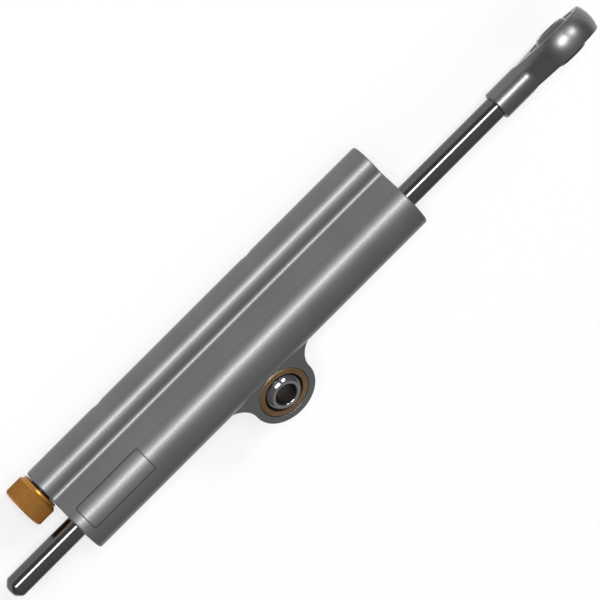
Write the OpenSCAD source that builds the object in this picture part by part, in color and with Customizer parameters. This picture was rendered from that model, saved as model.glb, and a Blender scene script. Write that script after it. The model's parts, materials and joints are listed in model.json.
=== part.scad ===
// Steering damper for a motorcycle: a through-rod hydraulic damper in a twin-tube body.
// The origin is the centre of the ear's ball. +Z is the ear's bolt axis, +X runs along the rod
// towards the rod end, and +Y runs from the ear to the rod.

/* [Body] */
// Length of the twin-tube body
body_len = 151.5; // [140:0.5:200]
// Outside diameter of the main tube
main_tube_d = 21; // [20.6:0.1:24]
// Bore of the main tube, in which the piston runs
main_bore_d = 16; // [15:0.1:16.4]
// Outside diameter of the reservoir tube
reservoir_tube_d = 14.3; // [14:0.1:17]
// Bore of the reservoir tube
reservoir_bore_d = 10; // [9.6:0.1:10.6]
// Distance between the axes of the two tubes
tube_spacing = 16.6; // [16.2:0.1:19]
// Angle of the reservoir tube below the plane of the ear
reservoir_lean = 43; // [35:1:50]
// Lean of the flats that join the tubes
web_lean = 30; // [28:0.5:32]
// Radius in the valley between a flat and the reservoir tube
valley_r = 1.6; // [0.6:0.1:1.8]
// Chamfer round both ends of the body
end_chamfer = 0.8; // [0.3:0.1:0.9]

/* [Ear] */
// Distance from the knob end of the body to the ear's ball
ear_place = 78.5; // [50:0.5:100]
// Distance from the rod axis to the ear's ball
ear_reach = 20; // [19.5:0.5:26]
// Radius of the round lobe of the ear
ear_r = 12.2; // [11:0.1:14]
// Thickness of the ear
ear_t = 9; // [8:0.5:11]
// Radius where the ear runs into the main tube
ear_root_r = 10; // [6:0.5:14]

/* [Ball bearings of the ear and the rod end] */
// Diameter of each ball
ball_d = 16; // [15.4:0.1:16.6]
// Width of each ball across its flat faces
ball_w = 12; // [11:0.1:13]
// Bolt hole through each ball
bolt_hole_d = 8; // [6:0.1:8.4]
// Outside diameter of each bronze race
race_d = 19; // [18.4:0.1:20]
// Width of each bronze race
race_w = 9; // [8:0.1:9.4]

/* [Rod] */
// Diameter of the rod
rod_d = 8; // [7:0.1:8.4]
// Rod showing between the body and the rod end
rod_reach = 42.6; // [40:0.1:60]
// Rod showing beyond the knob end
tip_reach = 30.8; // [24:0.1:50]
// Length of the taper on the rod's tip
tip_taper = 2.8; // [1.5:0.1:4]

/* [Piston] */
// Length of the piston
piston_len = 14; // [12:0.5:18]
// Distance of the piston beyond the middle of the body, as drawn
piston_shift = 5; // [-8:0.5:8]
// Width of the bearing band round the piston
band_w = 4; // [3:0.5:6]
// Depth of the band's groove
band_depth = 1; // [0.8:0.1:1.4]

/* [Rod guides] */
// Depth of each guide's seat from the end of the body
guide_depth = 30; // [28:0.5:36]
// Step between the piston bore and a guide's seat
guide_step = 1; // [0.8:0.05:1.1]
// Length of the stop nose on each guide
nose_len = 4.5; // [4:0.1:6]
// Distance from the end of the body to the retaining ring
ring_inset = 1.5; // [1:0.1:2]
// Thickness of the retaining rings of the guides
ring_t = 1; // [0.8:0.1:1.2]
// Wall of the bush in each guide
bush_wall = 1; // [0.8:0.1:1.3]
// Length of the bush in each guide
bush_len = 12; // [8:0.5:13]
// Depth of the wiper's rubber
wiper_len = 3.9; // [3:0.1:4]
// Length of the rod seal
seal_len = 4.2; // [3.6:0.1:4.2]

/* [Rod end] */
// Diameter of the shank
shank_d = 10.6; // [10.4:0.1:13]
// Distance from the mouth of the shank to the ball
shank_reach = 30.2; // [28:0.1:40]
// Diameter of the spherical head
head_d = 26; // [24:0.1:28]
// Width of the head across its flats
head_w = 9.6; // [9.4:0.1:11]
// Slope of the neck
neck_angle = 32; // [28:1:40]
// Turn of the rod end about the rod, as drawn
rod_end_turn = 49.3; // [0:0.1:90]
// Length of the threaded spigot in the shank
spigot_len = 12; // [8:0.5:13]

/* [Adjuster] */
// Diameter of the knob's grip
knob_d = 15.6; // [14.6:0.1:18]
// Length of the knob's grip
grip_len = 7; // [6:0.1:9]
// Diameter of the plain collar of the knob
collar_d = 13.2; // [12:0.1:14]
// Length of the plain collar of the knob
collar_len = 1.5; // [1:0.1:2.5]
// Gap between the knob and the body
knob_gap = 0.6; // [0.4:0.1:1.2]
// Number of straight flutes round the grip
flutes = 72; // [24:1:80]
// Depth of the flutes
flute_depth = 0.25; // [0.1:0.05:0.5]
// Diameter of the housing's nose, inside the knob
nose_d = 8; // [7.6:0.1:8.4]
// Number of click positions in a turn of the knob
clicks = 16; // [8:1:18]
// Diameter of the adjuster shaft
shaft_d = 4; // [3.6:0.1:4.2]

/* [Ports and plugs] */
// Diameter of the oil ports
port_d = 2; // [1.5:0.1:2.2]
// Diameter of the screws that close the drillings
plug_d = 4; // [3.6:0.1:5]
// Distance of the filler screw from the knob end
filler_place = 101.3; // [60:0.1:105]
// Length of the end plug of the reservoir
end_plug_len = 6.3; // [5:0.1:8]
// Length of the spring chamber behind the separator
spring_room = 15.5; // [13:0.5:18]

/* [Panel line] */
// Distance of the bare panel from the knob end
panel_place = 3.6; // [2:0.1:20]
// Length of the bare panel
panel_len = 28.1; // [15:0.1:35]
// Width of the bare panel
panel_w = 9.4; // [6:0.1:10]
// Corner radius of the bare panel
panel_corner = 0.8; // [0.4:0.1:1.5]
// Width of the engraved line round the panel
panel_line_w = 0.4; // [0.3:0.05:0.6]
// Depth of the engraved line round the panel
panel_line_depth = 0.25; // [0.15:0.05:0.4]

/* [Clearances] */
// Gap between pieces that are fixed together
fit = 0.02; // [0.01:0.005:0.04]
// Gap between pieces that slide or turn on each other
run = 0.05; // [0.02:0.01:0.08]

/* [Hidden] */
$fn = 96;

titanium_grey = [0.44, 0.445, 0.45];
bright_steel = [0.78, 0.79, 0.8];
satin_steel = [0.62, 0.62, 0.61];
plain_aluminium = [0.72, 0.73, 0.74];
bronze = [0.52, 0.37, 0.22];
gold = [0.62, 0.42, 0.16];
rubber_black = [0.06, 0.06, 0.065];
spring_steel = [0.3, 0.3, 0.32];
brass = [0.7, 0.58, 0.3];
band_brown = [0.36, 0.3, 0.22];

main_r = main_tube_d / 2;
// The web and the ear's root lie this deep in the tubes, so that they meet at a clear angle
web_sink = 0.02;
web_r = main_r - web_sink;
bore_r = main_bore_d / 2;
reservoir_r = reservoir_tube_d / 2;
reservoir_bore_r = reservoir_bore_d / 2;
rod_r = rod_d / 2;
ball_r = ball_d / 2;
race_r = race_d / 2;
head_r = head_d / 2;
shank_r = shank_d / 2;
race_mouth = 0.7;

// Places of the tube axes and ends
knob_face_x = -ear_place;
rod_face_x = body_len - ear_place;
reservoir_y = ear_reach + tube_spacing * cos(reservoir_lean);
reservoir_z = -tube_spacing * sin(reservoir_lean);
mouth_x = rod_face_x + rod_reach;
rod_ball_x = mouth_x + shank_reach;

// Guides, measured inwards from an end of the body
seat_r = bore_r + guide_step;
ring_groove_depth = 0.5;
guide_start = ring_inset + ring_t;
guide_end = guide_depth + nose_len;
pocket_r = rod_r + 2.5;
seal_gap = 0.4;
pocket_end = guide_start + wiper_len + seal_len + seal_gap;
bush_r = rod_r + bush_wall;
guide_nose_r = bush_r + 1.5;
bush_start = guide_end - bush_len - 0.3;
o_ring_w = 2;
o_ring_groove = 1.5;
o_ring_inset = 5;
o_ring_place = guide_depth - o_ring_inset;
rod_gap = 0.3;

// Piston
piston_x = knob_face_x + body_len / 2 + piston_shift - piston_len / 2;
piston_r = bore_r - 0.08;
clip_t = 0.8;
clip_groove = 0.2;
clip_width = 1.8;
clip_recess = 1.2;
clip_opening = 3;
band_split = 0.4;

// Rod end, measured from the ball along the rod
shank_mouth = -shank_reach;
shoulder_depth = 1.2;
mouth_gap = 0.7;
spigot_r = rod_r - 1;
neck_touch = neck_angle + 7;
neck_top = [head_r * cos(neck_touch), -head_r * sin(neck_touch)];
neck_foot_z = neck_top[1] - (neck_top[0] - shank_r) / tan(neck_angle);
neck_root_r = 5;
neck_root_reach = neck_root_r * tan(neck_angle / 2);
neck_root_z = neck_foot_z - neck_root_reach;
ramp_slope = 0.25;
ramp_end = neck_root_z - 0.5;
ramp_start = ramp_end + (shank_r - head_w / 2) / ramp_slope;

// Adjuster, measured outwards from the knob end of the reservoir tube
knob_face = knob_gap + collar_len + grip_len;
housing_r = reservoir_bore_r + 0.5;
housing_inset = 0.3;
housing_short = 4;
housing_end = housing_short - guide_depth;
housing_nose_len = 4;
recess_gap = 0.6;
recess_end = housing_nose_len + recess_gap;
shaft_r = shaft_d / 2;
shaft_recess = 1.6;
shaft_end = knob_face - shaft_recess;
flat_depth = 0.4;
flange_z = -8;
flange_t = 2;
flange_r = housing_r - 2.1;
nut_len = 7;
nut_r = flange_r - 0.5;
nut_end = flange_z - flange_t - nut_len;
shaft_groove = 0.7;
shaft_groove_w = 0.9;
shaft_groove_z = -4;
housing_groove = 0.9;
housing_groove_w = 1.5;
housing_groove_inset = 6;
housing_groove_z = housing_end + housing_groove_inset;
thread_r = 1.5;
needle_shank_r = 1.9;
needle_flat = 1.5;
needle_tip_r = 1.1;
needle_point_r = 0.4;
needle_taper = 3.5;
needle_head_room = 4;
guide_disc_t = 2.5;
screw_r = 1.25;
screw_len = 9;
screw_top = knob_face - 0.35;
knob_recess_r = knob_d / 2 - 2;
detent_r = 0.8;
detent_place = 3.05;
detent_top = knob_face - 2;
dimple_depth = 0.12;

// Oil ports, measured inwards from the ends of the body
port_place = guide_depth + 2.3;
seat_place = port_place + 2.7;
seat_len = 5;
section_end = tube_spacing + reservoir_r;
plug_depth = 1.9;
plug_inset = 0.3;
plug_len = 1.5;
plug_socket = 0.9;

// End of the reservoir at the rod end, measured inwards from that end
small_ring_inset = 0.9;
small_ring_t = 0.8;
plug_start = small_ring_inset + small_ring_t;
plug_stop = plug_start + end_plug_len;
plug_middle = plug_start + end_plug_len / 2;
plug_groove = 0.9;
plug_groove_w = 1.5;
plug_boss_r = 2;
pull_hole_r = 1.25;
pull_hole_depth = 3;
pull_hole_point = 0.5;
plug_boss_len = 1.5;
separator_cup = 2.5;
separator_start = plug_stop + spring_room - separator_cup;
separator_len = 7;
separator_r = reservoir_bore_r - run;
separator_groove = 0.8;
separator_groove_w = 1.2;
separator_groove_z = 3.4;
spring_gap = 0.1;

// Placing: the local Z axis runs along +X, or along -X when way is -1
module on_rod_axis(x, way = 1) {
    translate([x, ear_reach, 0]) rotate([0, 90 * way, 0]) children();
}

module on_reservoir_axis(x, way = 1) {
    translate([x, reservoir_y, reservoir_z]) rotate([0, 90 * way, 0]) children();
}

// Placing for the body's section: local X runs from the rod axis to the reservoir axis
module across_tubes(x) {
    on_rod_axis(x) rotate([0, 0, 90 - reservoir_lean]) children();
}

module at_rod_end_ball() {
    translate([rod_ball_x, ear_reach, 0]) rotate([rod_end_turn, 0, 0]) children();
}

// Shapes that repeat
module turned(outline) {
    rotate_extrude() polygon(outline);
}

module tube(outer_r, inner_r, length) {
    difference() {
        cylinder(r = outer_r, h = length);
        translate([0, 0, -1]) cylinder(r = inner_r, h = length + 2);
    }
}

module chamfered_bar(r, length, chamfer) {
    turned([
        [0, 0], [r - chamfer, 0], [r, chamfer],
        [r, length - chamfer], [r - chamfer, length], [0, length]
    ]);
}

module o_ring(inner_r, outer_r) {
    section_r = (outer_r - inner_r) / 2;
    rotate_extrude() translate([inner_r + section_r, 0]) circle(r = section_r, $fn = 32);
}

module hex_socket(across_flats, depth) {
    cylinder(d = across_flats / cos(30), h = depth, $fn = 6);
}

// A retaining ring for a bore, with two holed lugs beside its gap
module bore_ring(groove_r, band, lug_r, thickness) {
    inner_r = groove_r - band;
    lug_place = inner_r - lug_r * 0.35;
    lug_angle = asin((lug_r * 1.5) / lug_place);
    linear_extrude(thickness) difference() {
        union() {
            difference() {
                circle(r = groove_r - fit);
                circle(r = inner_r);
                polygon([
                    [0, 0],
                    [2 * groove_r * cos(lug_angle), -2 * groove_r * sin(lug_angle)],
                    [2 * groove_r * cos(lug_angle), 2 * groove_r * sin(lug_angle)]
                ]);
            }
            for (side = [-1, 1])
                rotate(side * lug_angle) translate([lug_place, 0]) circle(r = lug_r);
        }
        for (side = [-1, 1])
            rotate(side * lug_angle) translate([lug_place, 0]) circle(r = lug_r * 0.45);
    }
}

// A coil spring of round wire, as one swept tube
module coil_spring(coil_r, wire_r, length, turns, steps = 14, sides = 6) {
    rings = turns * steps;
    rise = length - 2 * wire_r;
    points = [
        for (i = [0:rings]) for (j = [0:sides - 1])
            let (turn = 360 * i / steps, side = 360 * j / sides, r = coil_r + wire_r * cos(side))
                [r * cos(turn), r * sin(turn), wire_r + rise * i / rings + wire_r * sin(side)]
    ];
    sides_of_tube = [
        for (i = [0:rings - 1]) for (j = [0:sides - 1])
            [
                i * sides + j, (i + 1) * sides + j,
                (i + 1) * sides + (j + 1) % sides, i * sides + (j + 1) % sides
            ]
    ];
    near_end = [for (j = [0:sides - 1]) j];
    far_end = [for (j = [0:sides - 1]) rings * sides + sides - 1 - j];
    polyhedron(points, concat(sides_of_tube, [near_end, far_end]));
}

// Body: one extrusion with two tubes, flats between them and an ear
module web_side() {
    normal = [sin(web_lean), cos(web_lean)];
    way = [cos(web_lean), -sin(web_lean)];
    lift = web_r + valley_r;
    reach = reservoir_r + valley_r - web_sink;
    span = tube_spacing * cos(web_lean)
        - sqrt(pow(reach, 2) - pow(lift - tube_spacing * sin(web_lean), 2));
    valley = normal * lift + way * span;
    foot = normal * web_r + way * span;
    difference() {
        polygon([[0, 0], normal * web_r, foot, valley, [tube_spacing, 0]]);
        translate(valley) circle(r = valley_r);
    }
}

module web_end_cut() {
    size = 2 * main_r;
    rotate([0, 0, 90 - web_lean])
        translate([web_r - end_chamfer, 0, 0])
            rotate([0, 45, 0])
                translate([0, -size, -size])
                    cube([size, 2 * size, 2 * size]);
}

module web() {
    difference() {
        linear_extrude(body_len) for (side = [0, 1]) mirror([0, side]) web_side();
        for (side = [0, 1]) mirror([0, side, 0]) {
            web_end_cut();
            translate([0, 0, body_len]) mirror([0, 0, 1]) web_end_cut();
        }
    }
}

module ear_outline() {
    root_y = ear_reach - sqrt(pow(main_r, 2) - pow(ear_t / 2, 2)) + web_sink;
    root_centre_y = root_y - ear_root_r;
    root_centre_x = sqrt(pow(ear_r + ear_root_r - web_sink, 2) - pow(root_centre_y, 2));
    inside_y = ear_reach - main_r / 2;
    circle(r = ear_r);
    difference() {
        polygon([
            [0, 0], [-root_centre_x, root_centre_y], [-root_centre_x, inside_y],
            [root_centre_x, inside_y], [root_centre_x, root_centre_y]
        ]);
        for (side = [-1, 1])
            translate([side * root_centre_x, root_centre_y]) circle(r = ear_root_r);
    }
}

module rounded_panel(inset) {
    half_w = panel_w / 2 - inset;
    corner = panel_corner - inset / 2;
    translate([-half_w, inset + corner]) square([2 * half_w, panel_len - 2 * (inset + corner)]);
    translate([corner - half_w, inset]) square([2 * (half_w - corner), panel_len - 2 * inset]);
    for (side = [-1, 1]) for (end = [inset + corner, panel_len - inset - corner])
        translate([side * (half_w - corner), end]) circle(r = corner, $fn = 48);
}

module panel_line() {
    across_tubes(knob_face_x) intersection() {
        tube(main_r + 1, main_r - panel_line_depth, body_len);
        translate([0, main_r + 2, panel_place]) rotate([90, 0, 0]) linear_extrude(main_r)
            difference() {
                rounded_panel(0);
                rounded_panel(panel_line_w);
            }
    }
}

module guide_seat() {
    translate([0, 0, -1]) cylinder(r = seat_r, h = guide_depth + 1);
    translate([0, 0, ring_inset]) cylinder(r = seat_r + ring_groove_depth, h = ring_t);
    translate([0, 0, -1]) cylinder(r1 = seat_r + 1.4, r2 = seat_r, h = 1.4);
}

// A drilling towards the rod axis, with the seat of its screw at the outside of the tube
module drilling(place, length) {
    across_tubes(knob_face_x + place) {
        translate([section_end - plug_depth, 0, 0]) rotate([0, 90, 0])
            cylinder(d = plug_d + 2 * fit, h = plug_depth + 1);
        translate([section_end - length, 0, 0]) rotate([0, 90, 0])
            cylinder(d = port_d, h = length);
    }
}

module damper_body() {
    color(titanium_grey) difference() {
        union() {
            across_tubes(knob_face_x) {
                chamfered_bar(main_r, body_len, end_chamfer);
                translate([tube_spacing, 0, 0]) chamfered_bar(reservoir_r, body_len, end_chamfer);
                web();
            }
            translate([0, 0, -ear_t / 2]) linear_extrude(ear_t) ear_outline();
        }
        on_rod_axis(knob_face_x) {
            translate([0, 0, -1]) cylinder(r = bore_r, h = body_len + 2);
            guide_seat();
        }
        on_rod_axis(rod_face_x, -1) guide_seat();
        on_reservoir_axis(knob_face_x) {
            translate([0, 0, -1]) cylinder(r = reservoir_bore_r, h = body_len + 2);
            translate([0, 0, -1]) cylinder(r = housing_r, h = 1 - housing_end);
        }
        on_reservoir_axis(rod_face_x, -1) translate([0, 0, small_ring_inset])
            cylinder(r = reservoir_bore_r + ring_groove_depth, h = small_ring_t);
        drilling(port_place, section_end);
        drilling(filler_place, reservoir_r);
        across_tubes(rod_face_x - port_place) rotate([0, 90, 0])
            cylinder(d = port_d, h = tube_spacing);
        panel_line();
        translate([0, 0, -ear_t]) cylinder(r = race_r + fit, h = 2 * ear_t);
    }
}

module drilling_screws() {
    color(satin_steel) for (place = [port_place, filler_place])
        across_tubes(knob_face_x + place)
            translate([section_end - plug_inset - plug_len, 0, 0]) rotate([0, 90, 0])
                difference() {
                    cylinder(d = plug_d, h = plug_len);
                    translate([0, 0, plug_len - plug_socket]) hex_socket(plug_d / 2, 1);
                }
}

// Ball bearings
module race() {
    mouth_r = sqrt(pow(ball_r, 2) - pow(race_w / 2, 2)) + race_mouth;
    color(bronze) difference() {
        translate([0, 0, -race_w / 2]) chamfered_bar(race_r, race_w, 0.4);
        sphere(r = ball_r + run);
        for (face = [0, 1]) mirror([0, 0, face])
            translate([0, 0, race_w / 2 - 0.8]) cylinder(r1 = mouth_r - 0.8, r2 = mouth_r + 0.2, h = 1);
    }
}

module ball() {
    bore_r = bolt_hole_d / 2;
    color(bright_steel) difference() {
        intersection() {
            sphere(r = ball_r);
            cube([ball_d, ball_d, ball_w], center = true);
        }
        cylinder(r = bore_r, h = 2 * ball_w, center = true);
        for (face = [0, 1]) mirror([0, 0, face])
            translate([0, 0, ball_w / 2 - 0.3]) cylinder(r1 = bore_r, r2 = bore_r + 0.6, h = 0.6);
    }
}

module ear_race() { race(); }
module ear_ball() { ball(); }
module rod_end_race() { at_rod_end_ball() race(); }
module rod_end_ball() { at_rod_end_ball() ball(); }

// Rod guides, each drawn inwards from its end of the body
module guide() {
    color(plain_aluminium) turned([
        [pocket_r, guide_start], [seat_r - fit, guide_start],
        [seat_r - fit, o_ring_place], [seat_r - o_ring_groove, o_ring_place],
        [seat_r - o_ring_groove, o_ring_place + o_ring_w], [seat_r - fit, o_ring_place + o_ring_w],
        [seat_r - fit, guide_depth], [guide_nose_r, guide_depth],
        [guide_nose_r, guide_end], [bush_r, guide_end],
        [bush_r, bush_start], [rod_r + rod_gap, bush_start],
        [rod_r + rod_gap, pocket_end], [pocket_r, pocket_end]
    ]);
}

module bush() {
    color(bronze) translate([0, 0, bush_start]) tube(bush_r - fit, rod_r + run, bush_len);
}

module rod_seal() {
    start = pocket_end - seal_len;
    outer = pocket_r - fit;
    inner = rod_r + run;
    middle = (outer + inner) / 2;
    color(rubber_black) turned([
        [inner, start], [outer, start], [outer, pocket_end],
        [outer - 0.5, pocket_end], [middle, start + seal_len / 2],
        [inner + 0.5, pocket_end], [inner, pocket_end]
    ]);
}

module wiper() {
    outer = pocket_r - fit;
    inner = rod_r + run;
    color(rubber_black) turned([
        [inner, guide_start - 0.9], [inner + 0.35, guide_start - 0.9],
        [inner + 0.9, guide_start + 0.3], [outer, guide_start + 0.3],
        [outer, guide_start + wiper_len], [inner + 0.6, guide_start + wiper_len],
        [inner, guide_start + wiper_len / 2]
    ]);
}

module guide_o_ring() {
    color(rubber_black) translate([0, 0, o_ring_place + o_ring_w / 2])
        o_ring(seat_r - o_ring_groove + fit / 2, seat_r - fit / 2);
}

module guide_ring() {
    color(spring_steel) translate([0, 0, ring_inset])
        bore_ring(seat_r + ring_groove_depth, 1.6, 1.2, ring_t);
}

module knob_end_guide() { on_rod_axis(knob_face_x) guide(); }
module knob_end_bush() { on_rod_axis(knob_face_x) bush(); }
module knob_end_seal() { on_rod_axis(knob_face_x) rod_seal(); }
module knob_end_wiper() { on_rod_axis(knob_face_x) wiper(); }
module knob_end_o_ring() { on_rod_axis(knob_face_x) guide_o_ring(); }
module knob_end_retaining_ring() { on_rod_axis(knob_face_x) guide_ring(); }
module rod_end_guide() { on_rod_axis(rod_face_x, -1) guide(); }
module rod_end_bush() { on_rod_axis(rod_face_x, -1) bush(); }
module rod_end_seal() { on_rod_axis(rod_face_x, -1) rod_seal(); }
module rod_end_wiper() { on_rod_axis(rod_face_x, -1) wiper(); }
module rod_end_o_ring() { on_rod_axis(rod_face_x, -1) guide_o_ring(); }
module rod_end_retaining_ring() { on_rod_axis(rod_face_x, -1) guide_ring(); }

// Rod and piston
module piston_rod() {
    tip_x = knob_face_x - tip_reach;
    shoulder = mouth_x + shoulder_depth - tip_x;
    clip_at = [
        piston_x - tip_x + clip_recess - clip_t,
        piston_x - tip_x + piston_len - clip_recess
    ];
    color(bright_steel) on_rod_axis(tip_x) difference() {
        turned([
            [0, 0], [rod_r * 0.45, 0], [rod_r * 0.58, tip_taper * 0.1],
            [rod_r * 0.94, tip_taper * 0.7], [rod_r, tip_taper],
            [rod_r, shoulder], [spigot_r, shoulder],
            [spigot_r, shoulder + spigot_len - 0.5], [spigot_r - 0.5, shoulder + spigot_len],
            [0, shoulder + spigot_len]
        ]);
        for (at = clip_at) translate([0, 0, at]) tube(rod_r + 1, rod_r - clip_groove, clip_t);
    }
}

module piston() {
    groove_start = (piston_len - band_w) / 2 - run;
    groove_end = groove_start + band_w + 2 * run;
    groove_r = bore_r - band_depth;
    recess_r = rod_r + clip_width + 0.3;
    color(plain_aluminium) on_rod_axis(piston_x) turned([
        [recess_r, 0], [piston_r - 0.5, 0], [piston_r, 0.5],
        [piston_r, groove_start], [groove_r, groove_start],
        [groove_r, groove_end], [piston_r, groove_end],
        [piston_r, piston_len - 0.5], [piston_r - 0.5, piston_len],
        [recess_r, piston_len], [recess_r, piston_len - clip_recess],
        [rod_r + fit, piston_len - clip_recess], [rod_r + fit, clip_recess],
        [recess_r, clip_recess]
    ]);
}

module piston_band() {
    color(band_brown) on_rod_axis(piston_x + (piston_len - band_w) / 2) difference() {
        tube(bore_r - fit, bore_r - band_depth + run, band_w);
        translate([bore_r, 0, band_w / 2]) rotate([45, 0, 0])
            cube([4 * band_depth, band_split, 3 * band_w], center = true);
    }
}

module piston_clips() {
    color(spring_steel) for (at = [clip_recess - clip_t, piston_len - clip_recess])
        on_rod_axis(piston_x + at) difference() {
            tube(rod_r + clip_width, rod_r - clip_groove + fit, clip_t);
            translate([rod_r, 0, 0]) cube([2 * rod_r, clip_opening, 4 * clip_t], center = true);
        }
}

// Rod end: a turned blank with two milled flats
module blank_outline() {
    edge = 0.4;
    sink = 1;
    low = [shank_r, neck_root_z];
    hollow = low + [neck_root_r, 0];
    high = hollow - neck_root_r * [cos(neck_angle), -sin(neck_angle)];
    in_head = neck_top + sink * [sin(neck_angle), cos(neck_angle)];
    polygon([
        [0, shank_mouth], [shank_r - edge, shank_mouth], [shank_r, shank_mouth + edge],
        [shank_r, neck_foot_z], in_head, [0, in_head[1]]
    ]);
    difference() {
        polygon([
            low - [sink, 0], hollow, high - sink * [cos(neck_angle), -sin(neck_angle)],
            [shank_r - sink, neck_foot_z + sink]
        ]);
        translate(hollow) circle(r = neck_root_r);
    }
    intersection() {
        circle(r = head_r);
        translate([0, -head_r]) square([head_r, 2 * head_r]);
    }
}

module shank_hole() {
    turned([
        [0, shank_mouth - 1], [rod_r + mouth_gap + 1, shank_mouth - 1],
        [rod_r + fit, shank_mouth + mouth_gap], [rod_r + fit, shank_mouth + shoulder_depth],
        [spigot_r + fit, shank_mouth + shoulder_depth],
        [spigot_r + fit, shank_mouth + shoulder_depth + spigot_len + 0.5],
        [0, shank_mouth + shoulder_depth + spigot_len + 2]
    ]);
}

// The milled flat ends in a shallow ramp, which leaves the shank just past the neck's root
module head_flat() {
    over = 1;
    far_end = ramp_end - over / ramp_slope;
    rotate([90, 0, 0]) linear_extrude(2 * head_d, center = true) polygon([
        [ramp_start, head_w / 2], [2 * head_r, head_w / 2], [2 * head_r, head_r],
        [far_end, head_r], [far_end, shank_r + over]
    ]);
}

module rod_end() {
    color(satin_steel) at_rod_end_ball() difference() {
        rotate([0, 90, 0]) rotate_extrude() blank_outline();
        head_flat();
        mirror([0, 0, 1]) head_flat();
        rotate([0, 90, 0]) shank_hole();
        cylinder(r = race_r + fit, h = 2 * head_w, center = true);
    }
}

// Adjuster, drawn outwards from the knob end of the reservoir tube
module fluted_grip() {
    edge = 0.6;
    clear = 0.1;
    grip_r = knob_d / 2;
    foot_r = collar_d / 2 - clear;
    rise = grip_r + clear - foot_r;
    outline = [
        for (i = [0:flutes - 1]) for (j = [0, 1])
            let (angle = 360 * (i + j / 2) / flutes, r = grip_r - j * flute_depth)
                [r * cos(angle), r * sin(angle)]
    ];
    intersection() {
        linear_extrude(grip_len) polygon(outline);
        turned([
            [0, 0], [foot_r, 0], [foot_r + rise, rise],
            [grip_r + clear, grip_len - edge - clear], [grip_r - edge, grip_len], [0, grip_len]
        ]);
    }
}

module d_section(r, flat) {
    intersection() {
        circle(r = r);
        translate([-2 * r, -2 * r]) square([2 * r + flat, 4 * r]);
    }
}

module adjuster_knob() {
    color(gold) on_reservoir_axis(knob_face_x, -1) difference() {
        union() {
            translate([0, 0, knob_gap]) chamfered_bar(collar_d / 2, collar_len + 1, 0.4);
            translate([0, 0, knob_gap + collar_len]) fluted_grip();
        }
        translate([0, 0, -1]) cylinder(r = nose_d / 2 + 0.25, h = recess_end + 1);
        linear_extrude(shaft_end + fit) d_section(shaft_r + fit, shaft_r - flat_depth + fit);
        cylinder(r = screw_r + 0.1, h = knob_face + 1);
        translate([0, 0, knob_face - 1.4])
            cylinder(r1 = screw_r + 0.1, r2 = screw_r + 1.5, h = 1.4);
        translate([0, 0, knob_face - 0.3]) cylinder(r = knob_recess_r, h = 1);
        translate([detent_place, 0, 0]) cylinder(r = detent_r + fit, h = detent_top);
    }
}

module knob_screw() {
    head_h = 1.05;
    color(spring_steel) on_reservoir_axis(knob_face_x, -1) difference() {
        union() {
            translate([0, 0, screw_top - screw_len]) cylinder(r = screw_r, h = screw_len - 0.1);
            translate([0, 0, screw_top - head_h])
                cylinder(r1 = screw_r, r2 = screw_r + 1, h = head_h);
        }
        translate([0, 0, screw_top - 0.8]) hex_socket(1.5, 1);
    }
}

module adjuster_shaft() {
    color(satin_steel) on_reservoir_axis(knob_face_x, -1) difference() {
        union() {
            translate([0, 0, flange_z - 1])
                cylinder(r = shaft_r, h = recess_end - flange_z + 1);
            linear_extrude(shaft_end) d_section(shaft_r, shaft_r - flat_depth);
            translate([0, 0, flange_z - flange_t]) cylinder(r = flange_r, h = flange_t - run);
            translate([0, 0, nut_end]) cylinder(r = nut_r, h = nut_len);
        }
        translate([0, 0, screw_top - screw_len - 0.5])
            cylinder(r = screw_r + fit, h = 2 * screw_len);
        translate([0, 0, nut_end - 1]) cylinder(r = thread_r, h = nut_len + 1);
        translate([0, 0, shaft_groove_z])
            tube(shaft_r + 1, shaft_r - shaft_groove, shaft_groove_w);
    }
}

module shaft_o_ring() {
    color(rubber_black) on_reservoir_axis(knob_face_x, -1)
        translate([0, 0, shaft_groove_z + shaft_groove_w / 2])
            o_ring(shaft_r - shaft_groove + fit / 2, shaft_r);
}

module detent_ball() {
    color(bright_steel) on_reservoir_axis(knob_face_x, -1)
        translate([detent_place, 0, housing_nose_len + run + detent_r]) sphere(r = detent_r, $fn = 48);
}

module detent_spring() {
    start = housing_nose_len + run + 2 * detent_r + run;
    color(spring_steel) on_reservoir_axis(knob_face_x, -1)
        translate([detent_place, 0, start])
            coil_spring(0.5, 0.12, detent_top - start - run, 3, 12);
}

module adjuster_housing() {
    color(spring_steel) on_reservoir_axis(knob_face_x, -1) difference() {
        union() {
            translate([0, 0, housing_end])
                cylinder(r = housing_r - fit, h = -housing_inset - housing_end);
            translate([0, 0, -housing_inset - 1])
                cylinder(d = nose_d, h = housing_nose_len + housing_inset + 1);
        }
        translate([0, 0, flange_z - 1])
            cylinder(r = shaft_r + run, h = housing_nose_len - flange_z + 2);
        translate([0, 0, housing_end - 1])
            cylinder(r = flange_r + run, h = flange_z - housing_end + 1);
        translate([0, 0, housing_groove_z])
            tube(housing_r + 1, housing_r - housing_groove, housing_groove_w);
        for (i = [0:clicks - 1])
            rotate(360 * i / clicks)
                translate([detent_place, 0, housing_nose_len + detent_r - dimple_depth])
                    sphere(r = detent_r, $fn = 32);
    }
}

module housing_o_ring() {
    color(rubber_black) on_reservoir_axis(knob_face_x, -1)
        translate([0, 0, housing_groove_z + housing_groove_w / 2])
            o_ring(housing_r - housing_groove + fit / 2, housing_r - fit / 2);
}

module needle_guide() {
    color(brass) on_reservoir_axis(knob_face_x, -1) translate([0, 0, housing_end + 1])
        difference() {
            cylinder(r = flange_r + run - fit, h = guide_disc_t);
            translate([0, 0, -1]) linear_extrude(guide_disc_t + 2) needle_section(run);
        }
}

// The needle's shank has two flats, so that it slides but doesn't turn
module needle_section(gap) {
    intersection() {
        circle(r = needle_shank_r + gap);
        square([2 * (needle_flat + gap), 3 * needle_shank_r], center = true);
    }
}

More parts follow.
